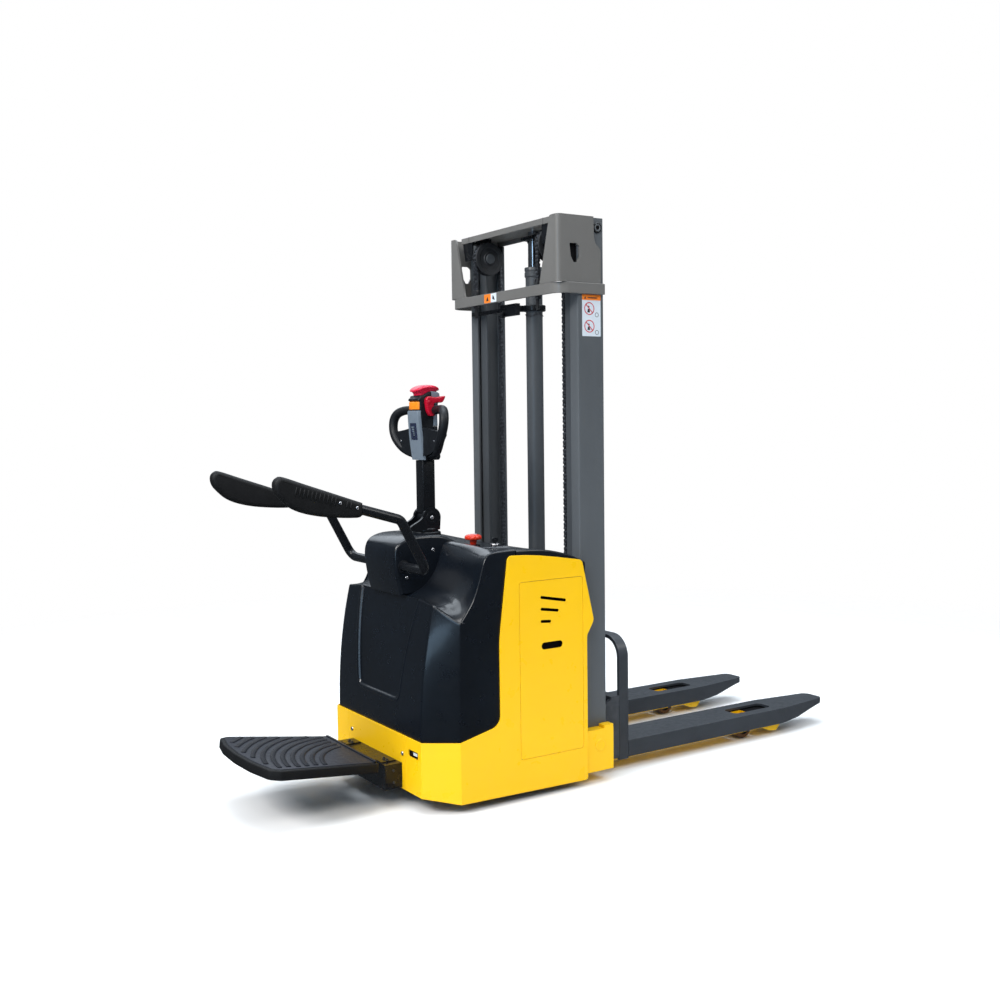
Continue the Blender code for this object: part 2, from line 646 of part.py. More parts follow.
def lift_cylinder():
    tie = box((0.676, -0.1885, 0.050), (0.797, 0.1885, 0.0995))
    new_part("mast_foot_tie", tie, MAST_PAINT, bevel=0.003)
    profile = [(0.0, 0.100), (0.040, 0.100), (0.040, 0.125), (0.0335, 0.128), (0.0335, 1.940),
               (0.0375, 1.943), (0.0375, 1.978), (0.0262, 1.978), (0.0262, 0.280), (0.0, 0.280)]
    barrel = lathe("Z", (CYLINDER_X, 0), profile, 24)
    new_part("lift_cylinder", barrel, MAST_PAINT, smooth=40)
    ring = lathe("Z", (CYLINDER_X, 0), [(0.0340, 1.805), (0.046, 1.805), (0.046, 1.830), (0.0340, 1.830)], 24)
    reach = box((0.656, 0.010, 1.806), (0.6735, 0.345, 1.829))
    lug = prism([(0.656, 0.012), (0.6735, 0.060), (0.715, 0.042), (0.700, 0.012)], "Z", 1.8065, 1.8285)
    new_part("cylinder_clamp", combine(ring, [reach, lug]), BLACK_PAINT)


# ---- Inner mast ----------------------------------------------------------------------------
def inner_mast():
    """Inner channels with guide rollers, the top beam with its sheave brackets, and the ram."""
    section = channel(INNER_REAR, INNER_FRONT, INNER_HALF, INNER_FLANGE, 0.008, 0.010)
    middle = (INNER_REAR + INNER_FRONT) / 2
    for word, side in RIGHT_LEFT:
        rail = prism([(x, side * y) for x, y in section], "Z", 0.120, 2.1000)
        rollers = [cylinder("Y", (middle, z), 0.0450, side * 0.3235, side * 0.3610, 20)
                   for z in (0.300, 0.620)]
        new_part("inner_channel_" + word, combine(rail, rollers), MAST_PAINT, bevel=0.0015)
    beam = bevelled(box((0.600, -0.3225, 2.1005), (0.779, 0.3225, 2.124)), 0.002)
    pieces = []
    for side in (-1, 1):
        pieces.append(side_box(side, (0.636, 0.692), (0.2375, 0.2475), (1.995, 2.105)))
        pieces.append(cylinder("Y", (SHEAVE_X, SHEAVE_Z), 0.0120, side * 0.2025, side * 0.245, 16))
        pieces.append(cylinder("Y", (SHEAVE_X, SHEAVE_Z), 0.0200, side * 0.1975, side * 0.2050, 16))
    new_part("inner_top_beam", combine(beam, pieces), MAST_PAINT)
    ram = cylinder("Z", (CYLINDER_X, 0), 0.0225, 0.300, 2.1000, 20)
    new_part("lift_rod", ram, STEEL, smooth=40)


def sheave(name, side):
    centre = side * (SHEAVE_Y + 0.003)
    half, groove = 0.0145, 0.0105
    profile = [(0.0125, -half), (0.066, -half), (0.066, -groove), (0.0550, -groove), (0.0550, groove),
               (0.066, groove), (0.066, half), (0.0125, half)]
    profile = [(r, centre + level) for r, level in profile]
    wheel = lathe("Y", (SHEAVE_X, SHEAVE_Z), profile, 32)
    new_part(name, wheel, CAST_IRON, pivot=(SHEAVE_X, centre, SHEAVE_Z), smooth=35)


def chains():
    """Straight runs of leaf chain: a short one behind each sheave and a long one in front."""
    for word, side in RIGHT_LEFT:
        width = (SHEAVE_Y + 0.003 - 0.009, SHEAVE_Y + 0.003 + 0.009)
        for run, x, low in (("rear", SHEAVE_X - CHAIN_RADIUS, 1.9050),
                            ("front", SHEAVE_X + CHAIN_RADIUS, 0.4255)):
            fall = side_box(side, (x - 0.004, x + 0.004), width, (low, SHEAVE_Z))
            new_part("chain_%s_%s" % (run, word), fall, CHAIN_STEEL)


# ---- Carriage and forks --------------------------------------------------------------------
def carriage():
    plates = []
    for side in (-1, 1):
        plates.append(side_box(side, (0.700, 0.850), (0.2585, 0.2705), (0.120, 0.500)))
        wing = [(0.8005, 0.050), (0.8850, 0.050), (0.8850, 0.298), (0.862, 0.298), (0.8005, 0.262)]
        plates.append(prism(wing, "Y", side * 0.3250, side * 0.3405))
        plates.append(side_box(side, (0.8550, 0.8850), (0.1650, 0.3300), (0.1140, 0.298)))
        plates.append(side_box(side, (0.715, 0.850), (SHEAVE_Y - 0.010, SHEAVE_Y + 0.016), (0.400, 0.4250)))
        for z in (0.180, 0.440):
            plates.append(cylinder("Y", (0.7345, z), 0.0340, side * 0.2700, side * 0.3120, 20))
    plates.append(box((0.8455, -0.2705, 0.4200), (0.8600, 0.2705, 0.500)))
    frame = combine(box((0.8450, -0.3400, 0.118), (0.8600, 0.3400, 0.298)), plates)
    new_part("carriage_frame", frame, FORK_PAINT, bevel=0.001)

    def arch(outer, top, radius):
        corners = [(-outer, 0.040), (-outer, top), (outer, top), (outer, 0.040)]
        return rounded(corners, [0, radius, radius, 0], 8)

    bar = 0.016
    inside = arch(FORK_HALF_SPREAD - bar, 0.529 - bar, 0.069)
    outline = arch(FORK_HALF_SPREAD, 0.529, 0.085) + list(reversed(inside))
    new_part("carriage_hoop", prism(outline, "X", 0.8865, 0.9330), FORK_PAINT, bevel=0.003)


def fork(name, side):
    """Inverted channel with a tapered tip, a wheel window and a heel deck under the carriage."""
    tip = FORK_HEEL + FORK_LENGTH
    inner, outer = FORK_CENTRE - FORK_WIDTH / 2, FORK_CENTRE + FORK_WIDTH / 2
    tip_in, tip_out = FORK_CENTRE - FORK_TIP_WIDTH / 2, FORK_CENTRE + FORK_TIP_WIDTH / 2
    plan = [(FORK_HEEL, inner), (1.800, inner), (tip, tip_in),
            (tip, tip_out), (1.800, outer), (FORK_HEEL, outer)]
    plan = rounded([(x, side * y) for x, y in plan], [0, 0.25, 0.028, 0.028, 0.25, 0], 4)
    solid = prism(plan, "Z", FORK_TOP - FORK_DEPTH, FORK_TOP)
    wall = 0.008
    under = side_box(side, (FORK_HEEL - 0.01, 1.830), (inner + wall, outer - wall),
                     (0.0, FORK_TOP - FORK_PLATE))
    ramp = [(1.760, 0.0), (2.20, 0.0), (2.20, 0.094), (2.050, 0.088), (1.900, 0.056),
            (1.790, FORK_TOP - FORK_DEPTH)]
    middle = side * FORK_CENTRE
    window = rounded(rectangle((1.560, middle - 0.0385), (1.772, middle + 0.0385)), 0.016, 3)
    solid = cut(solid, [under, prism(ramp, "Y", side * 0.1, side * 0.4), prism(window, "Z", 0.05, 0.2)])
    heel = side_box(side, (0.8610, FORK_HEEL + 0.004), (inner + 0.0015, 0.3245), (FORK_TOP - 0.012, FORK_TOP))
    new_part(name, combine(solid, [heel]), FORK_PAINT, bevel=0.003)


# ---- Steered drive unit and casters ----------------------------------------------------------
def drive():
    turntable = cylinder("Z", (STEER_X, 0), 0.120, 0.262, 0.280, 32)
    cheek = box((STEER_X - 0.050, 0.042, 0.080), (STEER_X + 0.050, 0.078, 0.270))
    hub = cylinder("Y", (STEER_X, DRIVE_WHEEL_R), 0.055, 0.042, 0.080, 24)
    axle = cylinder("Y", (STEER_X, DRIVE_WHEEL_R), 0.0150, -0.045, 0.060, 16)
    motor = cylinder("Z", (STEER_X, 0), 0.085, 0.275, 0.560, 24)
    column = cylinder("Z", (STEER_X, 0), 0.0200, 0.555, 0.9600, 16)
    new_part("drive_unit", combine(turntable, [cheek, hub, axle, motor, column]), CAST_IRON,
             pivot=(STEER_X, 0, 0.280))

    half, bore = 0.0375, 0.0155
    profile = [(bore, -half), (DRIVE_WHEEL_R - 0.004, -half), (DRIVE_WHEEL_R, -half + 0.005),
               (DRIVE_WHEEL_R, half - 0.005), (DRIVE_WHEEL_R - 0.004, half), (bore, half)]
    wheel = lathe("Y", (STEER_X, DRIVE_WHEEL_R), profile, 40)
    new_part("drive_wheel", wheel, POLYURETHANE, pivot=(STEER_X, 0, DRIVE_WHEEL_R), smooth=40)

    foot = cylinder("Z", (STEER_X, 0), 0.0455, 0.9605, 0.9720, 24)
    ears = []
    for side in (-1, 1):
        ear = [(STEER_X + 0.0375, 0.966), (STEER_X + 0.041, TILLER_PIVOT_Z)]
        ear += [(STEER_X + 0.003 + 0.038 * math.cos(a), TILLER_PIVOT_Z + 0.038 * math.sin(a))
                for a in [math.pi * i / 8 for i in range(1, 8)]]
        ear += [(STEER_X - 0.035, TILLER_PIVOT_Z), (STEER_X - 0.0375, 0.966)]
        ears.append(prism(ear, "Y", side * 0.0285, side * 0.0400))
    block = box((STEER_X - 0.034, -0.035, 0.970), (STEER_X + 0.034, 0.035, 0.9790))
    pin = cylinder("Y", (STEER_X, TILLER_PIVOT_Z), 0.0080, -0.035, 0.035, 16)
    new_part("tiller_base", combine(foot, ears + [block, pin]), BLACK_PAINT, pivot=(STEER_X, 0, 0.9605))


def caster(word, side):
    y = side * CASTER_Y
    axle_x = CASTER_X - CASTER_TRAIL
    plate = cylinder("Z", (CASTER_X, y), 0.034, 0.1740, 0.1895, 20)
    bridge = box((axle_x - 0.025, y - 0.036, 0.160), (CASTER_X + 0.030, y + 0.036, 0.1745))
    cheeks = []
    for offset in (-1, 1):
        outline = [(axle_x - 0.018, CASTER_R - 0.018), (axle_x + 0.018, CASTER_R - 0.018),
                   (CASTER_X + 0.030, 0.165), (axle_x - 0.025, 0.165)]
        low, high = sorted((y + offset * 0.0300, y + offset * 0.0360))
        cheeks.append(prism(outline, "Y", low, high))
    axle = cylinder("Y", (axle_x, CASTER_R), 0.0060, y - 0.034, y + 0.034, 12)
    fork_solid = combine(plate, [bridge] + cheeks + [axle])
    new_part("caster_fork_" + word, fork_solid, STEEL, pivot=(CASTER_X, y, 0.1895))
    half = 0.0240
    profile = [(0.0063, y - half), (CASTER_R - 0.004, y - half), (CASTER_R, y - half + 0.006),
               (CASTER_R, y + half - 0.006), (CASTER_R - 0.004, y + half), (0.0063, y + half)]
    wheel = lathe("Y", (axle_x, CASTER_R), profile, 28)
    new_part("caster_wheel_" + word, wheel, POLYURETHANE, pivot=(axle_x, y, CASTER_R), smooth=40)


# ---- Tiller --------------------------------------------------------------------------------
def tiller():
    pivot = (STEER_X, 0, TILLER_PIVOT_Z)
    arm = box((STEER_X - 0.0265, -0.0275, 1.030), (STEER_X + 0.0265, 0.0275, 1.2290))
    eye = cylinder("Y", (STEER_X, TILLER_PIVOT_Z), 0.0260, -0.0250, 0.0250, 20)
    neck = box((STEER_X - 0.020, -0.0250, TILLER_PIVOT_Z), (STEER_X + 0.020, 0.0250, 1.040))
    bore = cylinder("Y", (STEER_X, TILLER_PIVOT_Z), 0.0083, -0.05, 0.05, 16)
    new_part("tiller_arm", cut(combine(arm, [eye, neck]), [bore]), BLACK_PAINT, pivot=pivot, bevel=0.003)

    body = [(0.202, 1.2295), (0.276, 1.2295), (0.268, 1.300), (0.258, 1.400), (0.262, 1.4855),
            (0.188, 1.4855), (0.187, 1.440), (0.186, 1.415), (0.192, 1.320)]
    body = bevelled(prism(body, "Y", -0.0420, 0.0420), 0.005, 2)
    grips = []
    for side in (-1, 1):
        loop = [(0.244, 0.030, 1.414), (0.238, 0.095, 1.418), (0.222, 0.150, 1.418),
                (0.206, 0.184, 1.404), (0.201, 0.194, 1.380), (0.197, 0.186, 1.344),
                (0.198, 0.166, 1.308), (0.208, 0.134, 1.275), (0.222, 0.098, 1.256), (0.228, 0.030, 1.244)]
        grips.append(tube([Vector((x, side * y, z)) for x, y, z in loop], 0.0165, 12))
        web = [(0.030, 1.354), (0.176, 1.334), (0.162, 1.306), (0.130, 1.274), (0.098, 1.256), (0.030, 1.246)]
        grips.append(prism([(side * y, z) for y, z in web], "X", 0.2030, 0.2180))
    head = combine(body, grips)
    shaft = cylinder("Y", THROTTLE, 0.0062, -0.1, 0.1, 12)
    horn_seat = box((0.170, -0.0330, 1.4200), (0.1975, 0.0330, 1.4560))
    cap_seat = box((0.1990, -0.0310, 1.4760), (0.2560, 0.0310, 1.5000))
    new_part("tiller_head", cut(head, [shaft, horn_seat, cap_seat]), BLACK_PAINT, pivot=pivot, smooth=35)

    strip = [(0.1985, 1.2310), (0.2015, 1.2310), (0.1915, 1.3200), (0.1855, 1.4155), (0.1780, 1.4155),
             (0.1810, 1.3700), (0.1880, 1.3000)]
    new_part("head_cover", prism(strip, "Y", -0.0400, 0.0400), GREY_PLASTIC, pivot=pivot, bevel=0.0015)

    cap = bevelled(box((0.182, -0.0450, 1.4930), (0.280, 0.0450, 1.5080)), 0.004, 2)
    stem = box((0.200, -0.0300, 1.4840), (0.255, 0.0300, 1.4950))
    new_part("belly_button", combine(cap, [stem]), CRIMSON, pivot=pivot)

    horn = box((0.1815, -0.0320, 1.4210), (0.1940, 0.0320, 1.4550))
    new_part("horn_button", horn, ORANGE, pivot=pivot, bevel=0.0015)

    wings = []
    for side in (-1, 1):
        wing = [(0.196, 1.454), (0.189, 1.440), (0.193, 1.405), (0.203, 1.396), (0.214, 1.404),
                (0.219, 1.425), (0.2245, 1.445), (0.240, 1.4515), (0.262, 1.4515), (0.277, 1.458),
                (0.282, 1.472), (0.268, 1.470), (0.235, 1.466), (0.210, 1.463)]
        wings.append(prism(wing, "Y", side * 0.0430, side * 0.0620))
    shaft = cylinder("Y", THROTTLE, 0.0058, -0.050, 0.050, 12)
    pivot = (THROTTLE[0], 0, THROTTLE[1])
    new_part("throttle", combine(shaft, wings), CRIMSON, pivot=pivot, bevel=0.002)


# ---- Folding platform ----------------------------------------------------------------------
def platform():
    mount = box((-0.0690, -0.2000, 0.062), (-0.0005, 0.2000, 0.152))
    pieces = []
    for side in (-1, 1):
        lug = [(-0.066, 0.090), (-0.066, 0.1515), (HINGE_X, HINGE_Z + 0.0130), (HINGE_X - 0.0120, HINGE_Z),
               (HINGE_X, HINGE_Z - 0.0130)]
        pieces.append(prism(lug, "Y", side * 0.0600, side * 0.1000))
        pieces.append(cylinder("Y", (HINGE_X, HINGE_Z), 0.0060, side * 0.090, side * 0.150, 12))
    new_part("platform_mount", combine(mount, pieces), BLACK_PAINT, bevel=0.002)

    thick, top = 0.034, 0.019
    plan = [(-0.0150, -0.222), (-0.0150, 0.222), (-0.400, 0.262), (-0.438, 0.240), (-0.463, 0.130),
            (-0.471, 0.0), (-0.463, -0.130), (-0.438, -0.240), (-0.400, -0.262)]
    deck = prism(rounded(plan, [0.01, 0.01, 0.025, 0.02, 0, 0, 0, 0.02, 0.025], 4), "Z", top - thick, top)
    pieces, notches, bores = [], [], []
    for side in (-1, 1):
        pieces.append(cylinder("Y", (0.0, 0.0), 0.0130, side * 0.1010, side * 0.1600, 16))
        pieces.append(side_box(side, (-0.030, -0.004), (0.1010, 0.1600), (-0.0100, 0.0100)))
        notches.append(side_box(side, (-0.0175, 0.030), (0.0580, 0.1010), (-0.05, 0.05)))
        bores.append(cylinder("Y", (0.0, 0.0), 0.0063, side * 0.0800, side * 0.1520, 12))
    deck = combine(cut(deck, notches), pieces)
    deck = cut(deck, bores)
    turn = Matrix.Rotation(PLATFORM_TILT, 3, "Y")
    bmesh.ops.rotate(deck, verts=deck.verts, cent=(0, 0, 0), matrix=turn)
    bmesh.ops.translate(deck, verts=deck.verts, vec=(HINGE_X, 0, HINGE_Z))
    new_part("platform_plate", deck, RUBBER, pivot=(HINGE_X, 0, HINGE_Z), bevel=0.003)


# ---- Folding side arms ---------------------------------------------------------------------
GRIP_START = Vector((-0.1905, 1.0815))
BEND = Vector((-0.0400, 1.0370))


def side_arm(word, side):
    pivot = (ARM_PIVOT_X, side * ARM_Y, ARM_PIVOT_Z)
    ahead = (GRIP_START - BEND).normalized()
    tail = GRIP_START + ahead * 0.175
    corner = (ARM_PIVOT_X, side * ARM_Y, ARM_PIVOT_Z)
    points = [(ARM_PIVOT_X, side * 0.0400, ARM_PIVOT_Z), corner, (BEND.x, side * ARM_Y, BEND.y),
              (tail.x, side * ARM_Y, tail.y)]
    path = bent_path(points, 0.036, 5)
    new_part("arm_tube_" + word, tube(path, ARM_TUBE_R, 16), BLACK_PAINT, pivot=pivot, smooth=40)

    outline = [(-0.1905, 1.1045), (-0.477, 1.2035), (-0.494, 1.198), (-0.503, 1.180),
               (-0.500, 1.158), (-0.480, 1.129), (-0.448, 1.101), (-0.405, 1.081),
               (-0.343, 1.066), (-0.262, 1.057), (-0.205, 1.054)]
    grip = prism(outline, "Y", side * (ARM_Y - 0.0225), side * (ARM_Y + 0.0225))
    start, end = GRIP_START - ahead * 0.03, GRIP_START + ahead * 0.180
    bore = tube([Vector((p.x, side * ARM_Y, p.y)) for p in (start, start.lerp(end, 0.5), end)], 0.0178, 16)
    grip = cut(bevelled(grip, 0.007, 2), [bore])
    new_part("arm_grip_" + word, grip, RUBBER, pivot=pivot)


# ---- Deck controls -------------------------------------------------------------------------
def controls():
    x, y = ESTOP
    profile = [(0.0, 0.880), (0.0120, 0.880), (0.0120, 0.9270), (0.0290, 0.9310),
               (0.0320, 0.9380), (0.0300, 0.9460), (0.0180, 0.9510), (0.0, 0.9520)]
    new_part("estop_button", lathe("Z", ESTOP, profile, 24), ESTOP_RED, pivot=(x, y, 0.9120), smooth=50)
    x, y = KEY
    blade = cylinder("Z", KEY, 0.0060, 0.885, 0.9130, 12)
    bow = box((x - 0.013, y - 0.0025, 0.9120), (x + 0.013, y + 0.0025, 0.9350))
    new_part("key", combine(blade, [bow]), STEEL, pivot=(x, y, 0.9110), bevel=0.001)


# ---- Build ---------------------------------------------------------------------------------
base_frame()
rear_skirt()
rear_cover()
top_cover()
battery_lid()
internals()
outer_mast()
mast_ring()
lift_cylinder()
inner_mast()
chains()
carriage()
drive()
tiller()
platform()
controls()
for word, side in RIGHT_LEFT:
    side_cover("side_cover_" + word, side)
    access_panel("access_panel_" + word, side)
    leg("leg_" + word, side)
    load_wheel("load_wheel_" + word, side)
    sheave("sheave_" + word, side)
    fork("fork_" + word, side)
    caster(word, side)
    side_arm(word, side)
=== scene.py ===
"""Visual model of a stand-on walkie stacker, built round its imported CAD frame.

Metres, in the CAD's own frame: +X runs from the platform to the fork tips and +Y is the machine's left.
Shapes are written with X measured from the rear face of the steel skirt; piece() moves them to the frame.
"""
import math

import bmesh
import bpy
from mathutils import Matrix, Vector


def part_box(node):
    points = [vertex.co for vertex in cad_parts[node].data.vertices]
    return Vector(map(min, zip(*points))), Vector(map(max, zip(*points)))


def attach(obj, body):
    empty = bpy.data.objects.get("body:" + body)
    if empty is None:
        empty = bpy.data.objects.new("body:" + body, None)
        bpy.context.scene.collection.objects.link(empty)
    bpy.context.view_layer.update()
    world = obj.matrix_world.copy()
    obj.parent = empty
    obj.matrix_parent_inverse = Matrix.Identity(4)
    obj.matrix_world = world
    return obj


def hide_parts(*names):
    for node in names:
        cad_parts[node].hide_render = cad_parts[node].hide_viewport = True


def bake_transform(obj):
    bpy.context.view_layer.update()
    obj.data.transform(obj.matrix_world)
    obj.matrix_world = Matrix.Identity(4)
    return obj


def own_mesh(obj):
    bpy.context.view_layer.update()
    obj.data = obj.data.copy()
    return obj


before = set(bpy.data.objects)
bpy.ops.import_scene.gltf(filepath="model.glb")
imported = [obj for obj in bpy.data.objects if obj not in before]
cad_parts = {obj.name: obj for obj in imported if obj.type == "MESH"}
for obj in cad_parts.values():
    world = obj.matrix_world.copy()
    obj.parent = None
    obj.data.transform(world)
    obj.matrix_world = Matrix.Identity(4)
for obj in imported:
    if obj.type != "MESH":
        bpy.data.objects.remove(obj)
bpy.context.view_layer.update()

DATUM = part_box("rear_skirt")[0].x
SIDES = (("right", -1), ("left", 1))


# Axes and centres shared with the CAD solids
STEER_X, TILLER_PIVOT_Z = 0.229, 1.013
ARM_PIVOT = (0.06, 0.849)
CYLINDER_X = 0.739
DRIVE_WHEEL_R, LOAD_WHEEL_X, LOAD_WHEEL_R = 0.125, 1.609, 0.042
CASTER_X, CASTER_Y, CASTER_R = 0.165, 0.285, 0.0625
HEAD_BOLT = (0.7645, 2.083)
ESTOP, KEY = (0.346, -0.148), (0.424, -0.177)
THROTTLE = (0.215, 1.445)


# ---- Camera, lights and floor ------------------------------------------------------------------
def added(tree, kind, **values):
    """A new shader node with some of its inputs set. An underscore in an input's name stands for a space."""
    node = tree.nodes.new("ShaderNode" + kind)
    for name, value in values.items():
        node.inputs[name.replace("_", " ")].default_value = value
    return node


def stage():
    scene = bpy.context.scene
    scene.view_settings.view_transform = "Standard"
    camera = bpy.data.objects.new("camera", bpy.data.cameras.new("camera"))
    camera.data.lens = 41.79
    camera.data.sensor_width = 36.0
    camera.data.clip_end = 100
    yaw, pitch, roll = math.radians(32.98), math.radians(-4.02), math.radians(-0.75)
    ahead = Vector((math.sin(yaw) * math.cos(pitch), math.cos(yaw) * math.cos(pitch), math.sin(pitch)))
    right = Vector((math.cos(yaw), -math.sin(yaw), 0))
    up = right.cross(ahead)
    across = right * math.cos(roll) + up * math.sin(roll)
    above = up * math.cos(roll) - right * math.sin(roll)
    turn = Matrix((across, above, -ahead)).transposed().to_4x4()
    camera.matrix_world = Matrix.Translation((-1.92643 + DATUM, -3.83852, 1.3825)) @ turn
    scene.collection.objects.link(camera)
    scene.camera = camera

    world = bpy.data.worlds.new("studio")
    scene.world = world
    world.use_nodes = True
    tree = world.node_tree
    nodes, links = tree.nodes, tree.links
    background = nodes["Background"]
    sky = added(tree, "TexCoord")
    parts = added(tree, "SeparateXYZ")
    height = added(tree, "MapRange", From_Min=0.15, From_Max=0.85, To_Min=HORIZON_LEVEL,
        To_Max=ZENITH_LEVEL)
    height.interpolation_type = "SMOOTHSTEP"
    links.new(sky.outputs["Generated"], parts.inputs[0])
    links.new(parts.outputs["Z"], height.inputs["Value"])
    background.inputs["Color"].default_value = (0.8, 0.9, 1.0, 1)
    links.new(height.outputs["Result"], background.inputs["Strength"])
    white = added(tree, "Background", Color=(1, 1, 1, 1), Strength=1.0)
    path = added(tree, "LightPath")
    mix = added(tree, "MixShader")
    links.new(path.outputs["Is Camera Ray"], mix.inputs[0])
    links.new(background.outputs[0], mix.inputs[1])
    links.new(white.outputs[0], mix.inputs[2])
    links.new(mix.outputs[0], nodes["World Output"].inputs["Surface"])

    for name, at, aim, size, power, colour in LAMPS:
        data = bpy.data.lights.new(name, "AREA")
        data.shape = "RECTANGLE"
        data.size, data.size_y = size
        data.energy = power
        data.color = colour
        lamp = bpy.data.objects.new(name, data)
        lamp.location = at
        lamp.rotation_euler = (Vector(aim) - Vector(at)).to_track_quat("-Z", "Y").to_euler()
        scene.collection.objects.link(lamp)

    bm = bmesh.new()
    bmesh.ops.create_circle(bm, cap_ends=True, radius=30, segments=64)
    mesh = bpy.data.meshes.new("floor")
    bm.to_mesh(mesh)
    bm.free()
    floor = bpy.data.objects.new("floor", mesh)
    floor.location.z = -0.0005
    paper = finish("floor_paper", (0.93, 0.93, 0.93), 0.9, mottle=0.01, scale=2, bump=0.02, specular=0.1)
    fade_out(paper, 1.6, 5.0)
    mesh.materials.append(paper)
    scene.collection.objects.link(floor)
    floor.visible_glossy = False


HORIZON_LEVEL, ZENITH_LEVEL = 0.1, 0.65
LAMPS = [
    ("key", (-4.0, -4.6, 5.4), (-0.2, 0, 0.7), (3.0, 2.5), 165, (1.0, 0.98, 0.95)),
    ("side", (3.2, -5.0, 5.4), (0.2, 0, 0.7), (3.5, 2.5), 128, (1.0, 0.99, 0.97)),
    ("rear", (-5.6, -0.6, 4.6), (-0.4, 0, 0.6), (2.5, 2.0), 270, (1.0, 0.98, 0.96)),
    ("top", (0.3, 0.3, 5.2), (0.2, 0, 0.5), (5.0, 3.0), 240, (0.86, 0.93, 1.0)),
    ("back", (1.0, 4.5, 3.6), (0, 0, 1.0), (5.0, 2.0), 50, (0.85, 0.92, 1.0)),
    ("strip", (-5.0, -3.0, 1.7), (0, 0, 1.2), (0.9, 2.8), 40, (0.5, 0.74, 1.0)),
]


def fade_out(paper, start, end):
    """Let the floor dissolve into the backdrop with distance from the machine."""
    tree = paper.node_tree
    nodes, links = tree.nodes, tree.links
    place_node = added(tree, "TexCoord")
    reach = added(tree, "VectorMath")
    reach.operation = "LENGTH"
    links.new(place_node.outputs["Object"], reach.inputs[0])
    share = added(tree, "MapRange", From_Min=start, From_Max=end)
    share.interpolation_type = "SMOOTHSTEP"
    links.new(reach.outputs["Value"], share.inputs["Value"])
    clear = added(tree, "BsdfTransparent")
    mix = added(tree, "MixShader")
    links.new(share.outputs["Result"], mix.inputs[0])
    links.new(nodes["Principled BSDF"].outputs[0], mix.inputs[1])
    links.new(clear.outputs[0], mix.inputs[2])
    links.new(mix.outputs[0], nodes["Material Output"].inputs["Surface"])


# ---- Materials ---------------------------------------------------------------------------------
def finish(name, colour, rough, metallic=0.0, mottle=0.06, scale=5.0, spread=0.06, bump=0.05, grain=500.0,
        coat=0.0, coat_rough=0.08, specular=0.5, wear=0.0, worn=(0.35, 0.34, 0.33), streak=1.0):
    """A procedural surface: broad tone variation, uneven gloss, fine relief and worn edges."""
    made = bpy.data.materials.new(name)
    made.use_nodes = True
    tree = made.node_tree
    links = tree.links
    shader = tree.nodes["Principled BSDF"]
    for socket, value in (("Metallic", metallic), ("Coat Weight", coat), ("Coat Roughness", coat_rough),
            ("Specular IOR Level", specular)):
        shader.inputs[socket].default_value = value
    place_node = added(tree, "TexCoord")
    stretch = added(tree, "Mapping", Scale=(1, 1, streak))
    links.new(place_node.outputs["Object"], stretch.inputs["Vector"])

    def noise(size, detail):
        node = added(tree, "TexNoise", Scale=size, Detail=detail)
        links.new(stretch.outputs["Vector"], node.inputs["Vector"])
        return node.outputs["Fac"]

    def spanned(socket, low, high):
        node = added(tree, "MapRange", From_Min=0.3, From_Max=0.7, To_Min=low, To_Max=high)
        links.new(socket, node.inputs["Value"])
        return node.outputs["Result"]

    def mixed(factor, first, second):
        node = added(tree, "Mix")
        node.data_type = "RGBA"
        links.new(factor, node.inputs[0])
        for slot, value in ((6, first), (7, second)):
            if isinstance(value, tuple):
                node.inputs[slot].default_value = (*value, 1)
            else:
                links.new(value, node.inputs[slot])
        return node.outputs[2]

    dark = tuple(max(0.0, c * (1 - mottle)) for c in colour)
    light = tuple(min(1.0, c * (1 + mottle)) for c in colour)
    tone = mixed(spanned(noise(scale, 4), 0, 1), dark, light)
    if wear:
        edges = added(tree, "NewGeometry")
        mask = added(tree, "MapRange", From_Min=0.56, From_Max=0.75, To_Max=wear)
        links.new(edges.outputs["Pointiness"], mask.inputs["Value"])
        broken = added(tree, "Math")
        broken.operation = "MULTIPLY"
        links.new(mask.outputs["Result"], broken.inputs[0])
        links.new(spanned(noise(60, 5), 0, 1), broken.inputs[1])
        tone = mixed(broken.outputs[0], tone, worn)
    links.new(tone, shader.inputs["Base Color"])
    links.new(spanned(noise(scale * 6, 5), max(0.02, rough - spread), rough + spread),
        shader.inputs["Roughness"])
    relief = added(tree, "Bump", Strength=bump, Distance=0.001)
    links.new(noise(grain, 3), relief.inputs["Height"])
    links.new(relief.outputs["Normal"], shader.inputs["Normal"])
    return made


YELLOW = finish("yellow_enamel", (0.97, 0.56, 0.006), 0.32, mottle=0.015, scale=3, bump=0.04, grain=260,
    coat=0.15, coat_rough=0.12, specular=0.3)
HOOD = finish("black_gloss_moulding", (0.003, 0.0052, 0.009), 0.3, mottle=0.2, scale=4, spread=0.04,
    bump=0.03, grain=320, coat=0.35, coat_rough=0.13, specular=0.35)
MAST = finish("mast_enamel", (0.15, 0.147, 0.141), 0.38, mottle=0.05, scale=7, bump=0.07, grain=300,
    coat=0.35, coat_rough=0.15, specular=0.4, wear=0.35, worn=(0.36, 0.36, 0.36), streak=0.35)
RAIL = finish("mast_rail_enamel", (0.06, 0.067, 0.075), 0.36, mottle=0.12, scale=9, bump=0.06, grain=300,
    specular=0.4, wear=0.35, worn=(0.3, 0.3, 0.3), streak=0.15)
CHANNEL = finish("mast_channel_enamel", (0.098, 0.108, 0.118), 0.38, mottle=0.08, scale=7, bump=0.06,
    grain=300, specular=0.35, wear=0.3, worn=(0.3, 0.3, 0.3), streak=0.2)
FORK = finish("fork_enamel", (0.04, 0.045, 0.053), 0.34, mottle=0.1, scale=8, bump=0.08, grain=260,
    coat=0.18, coat_rough=0.22, specular=0.4, wear=0.4, worn=(0.28, 0.29, 0.31))
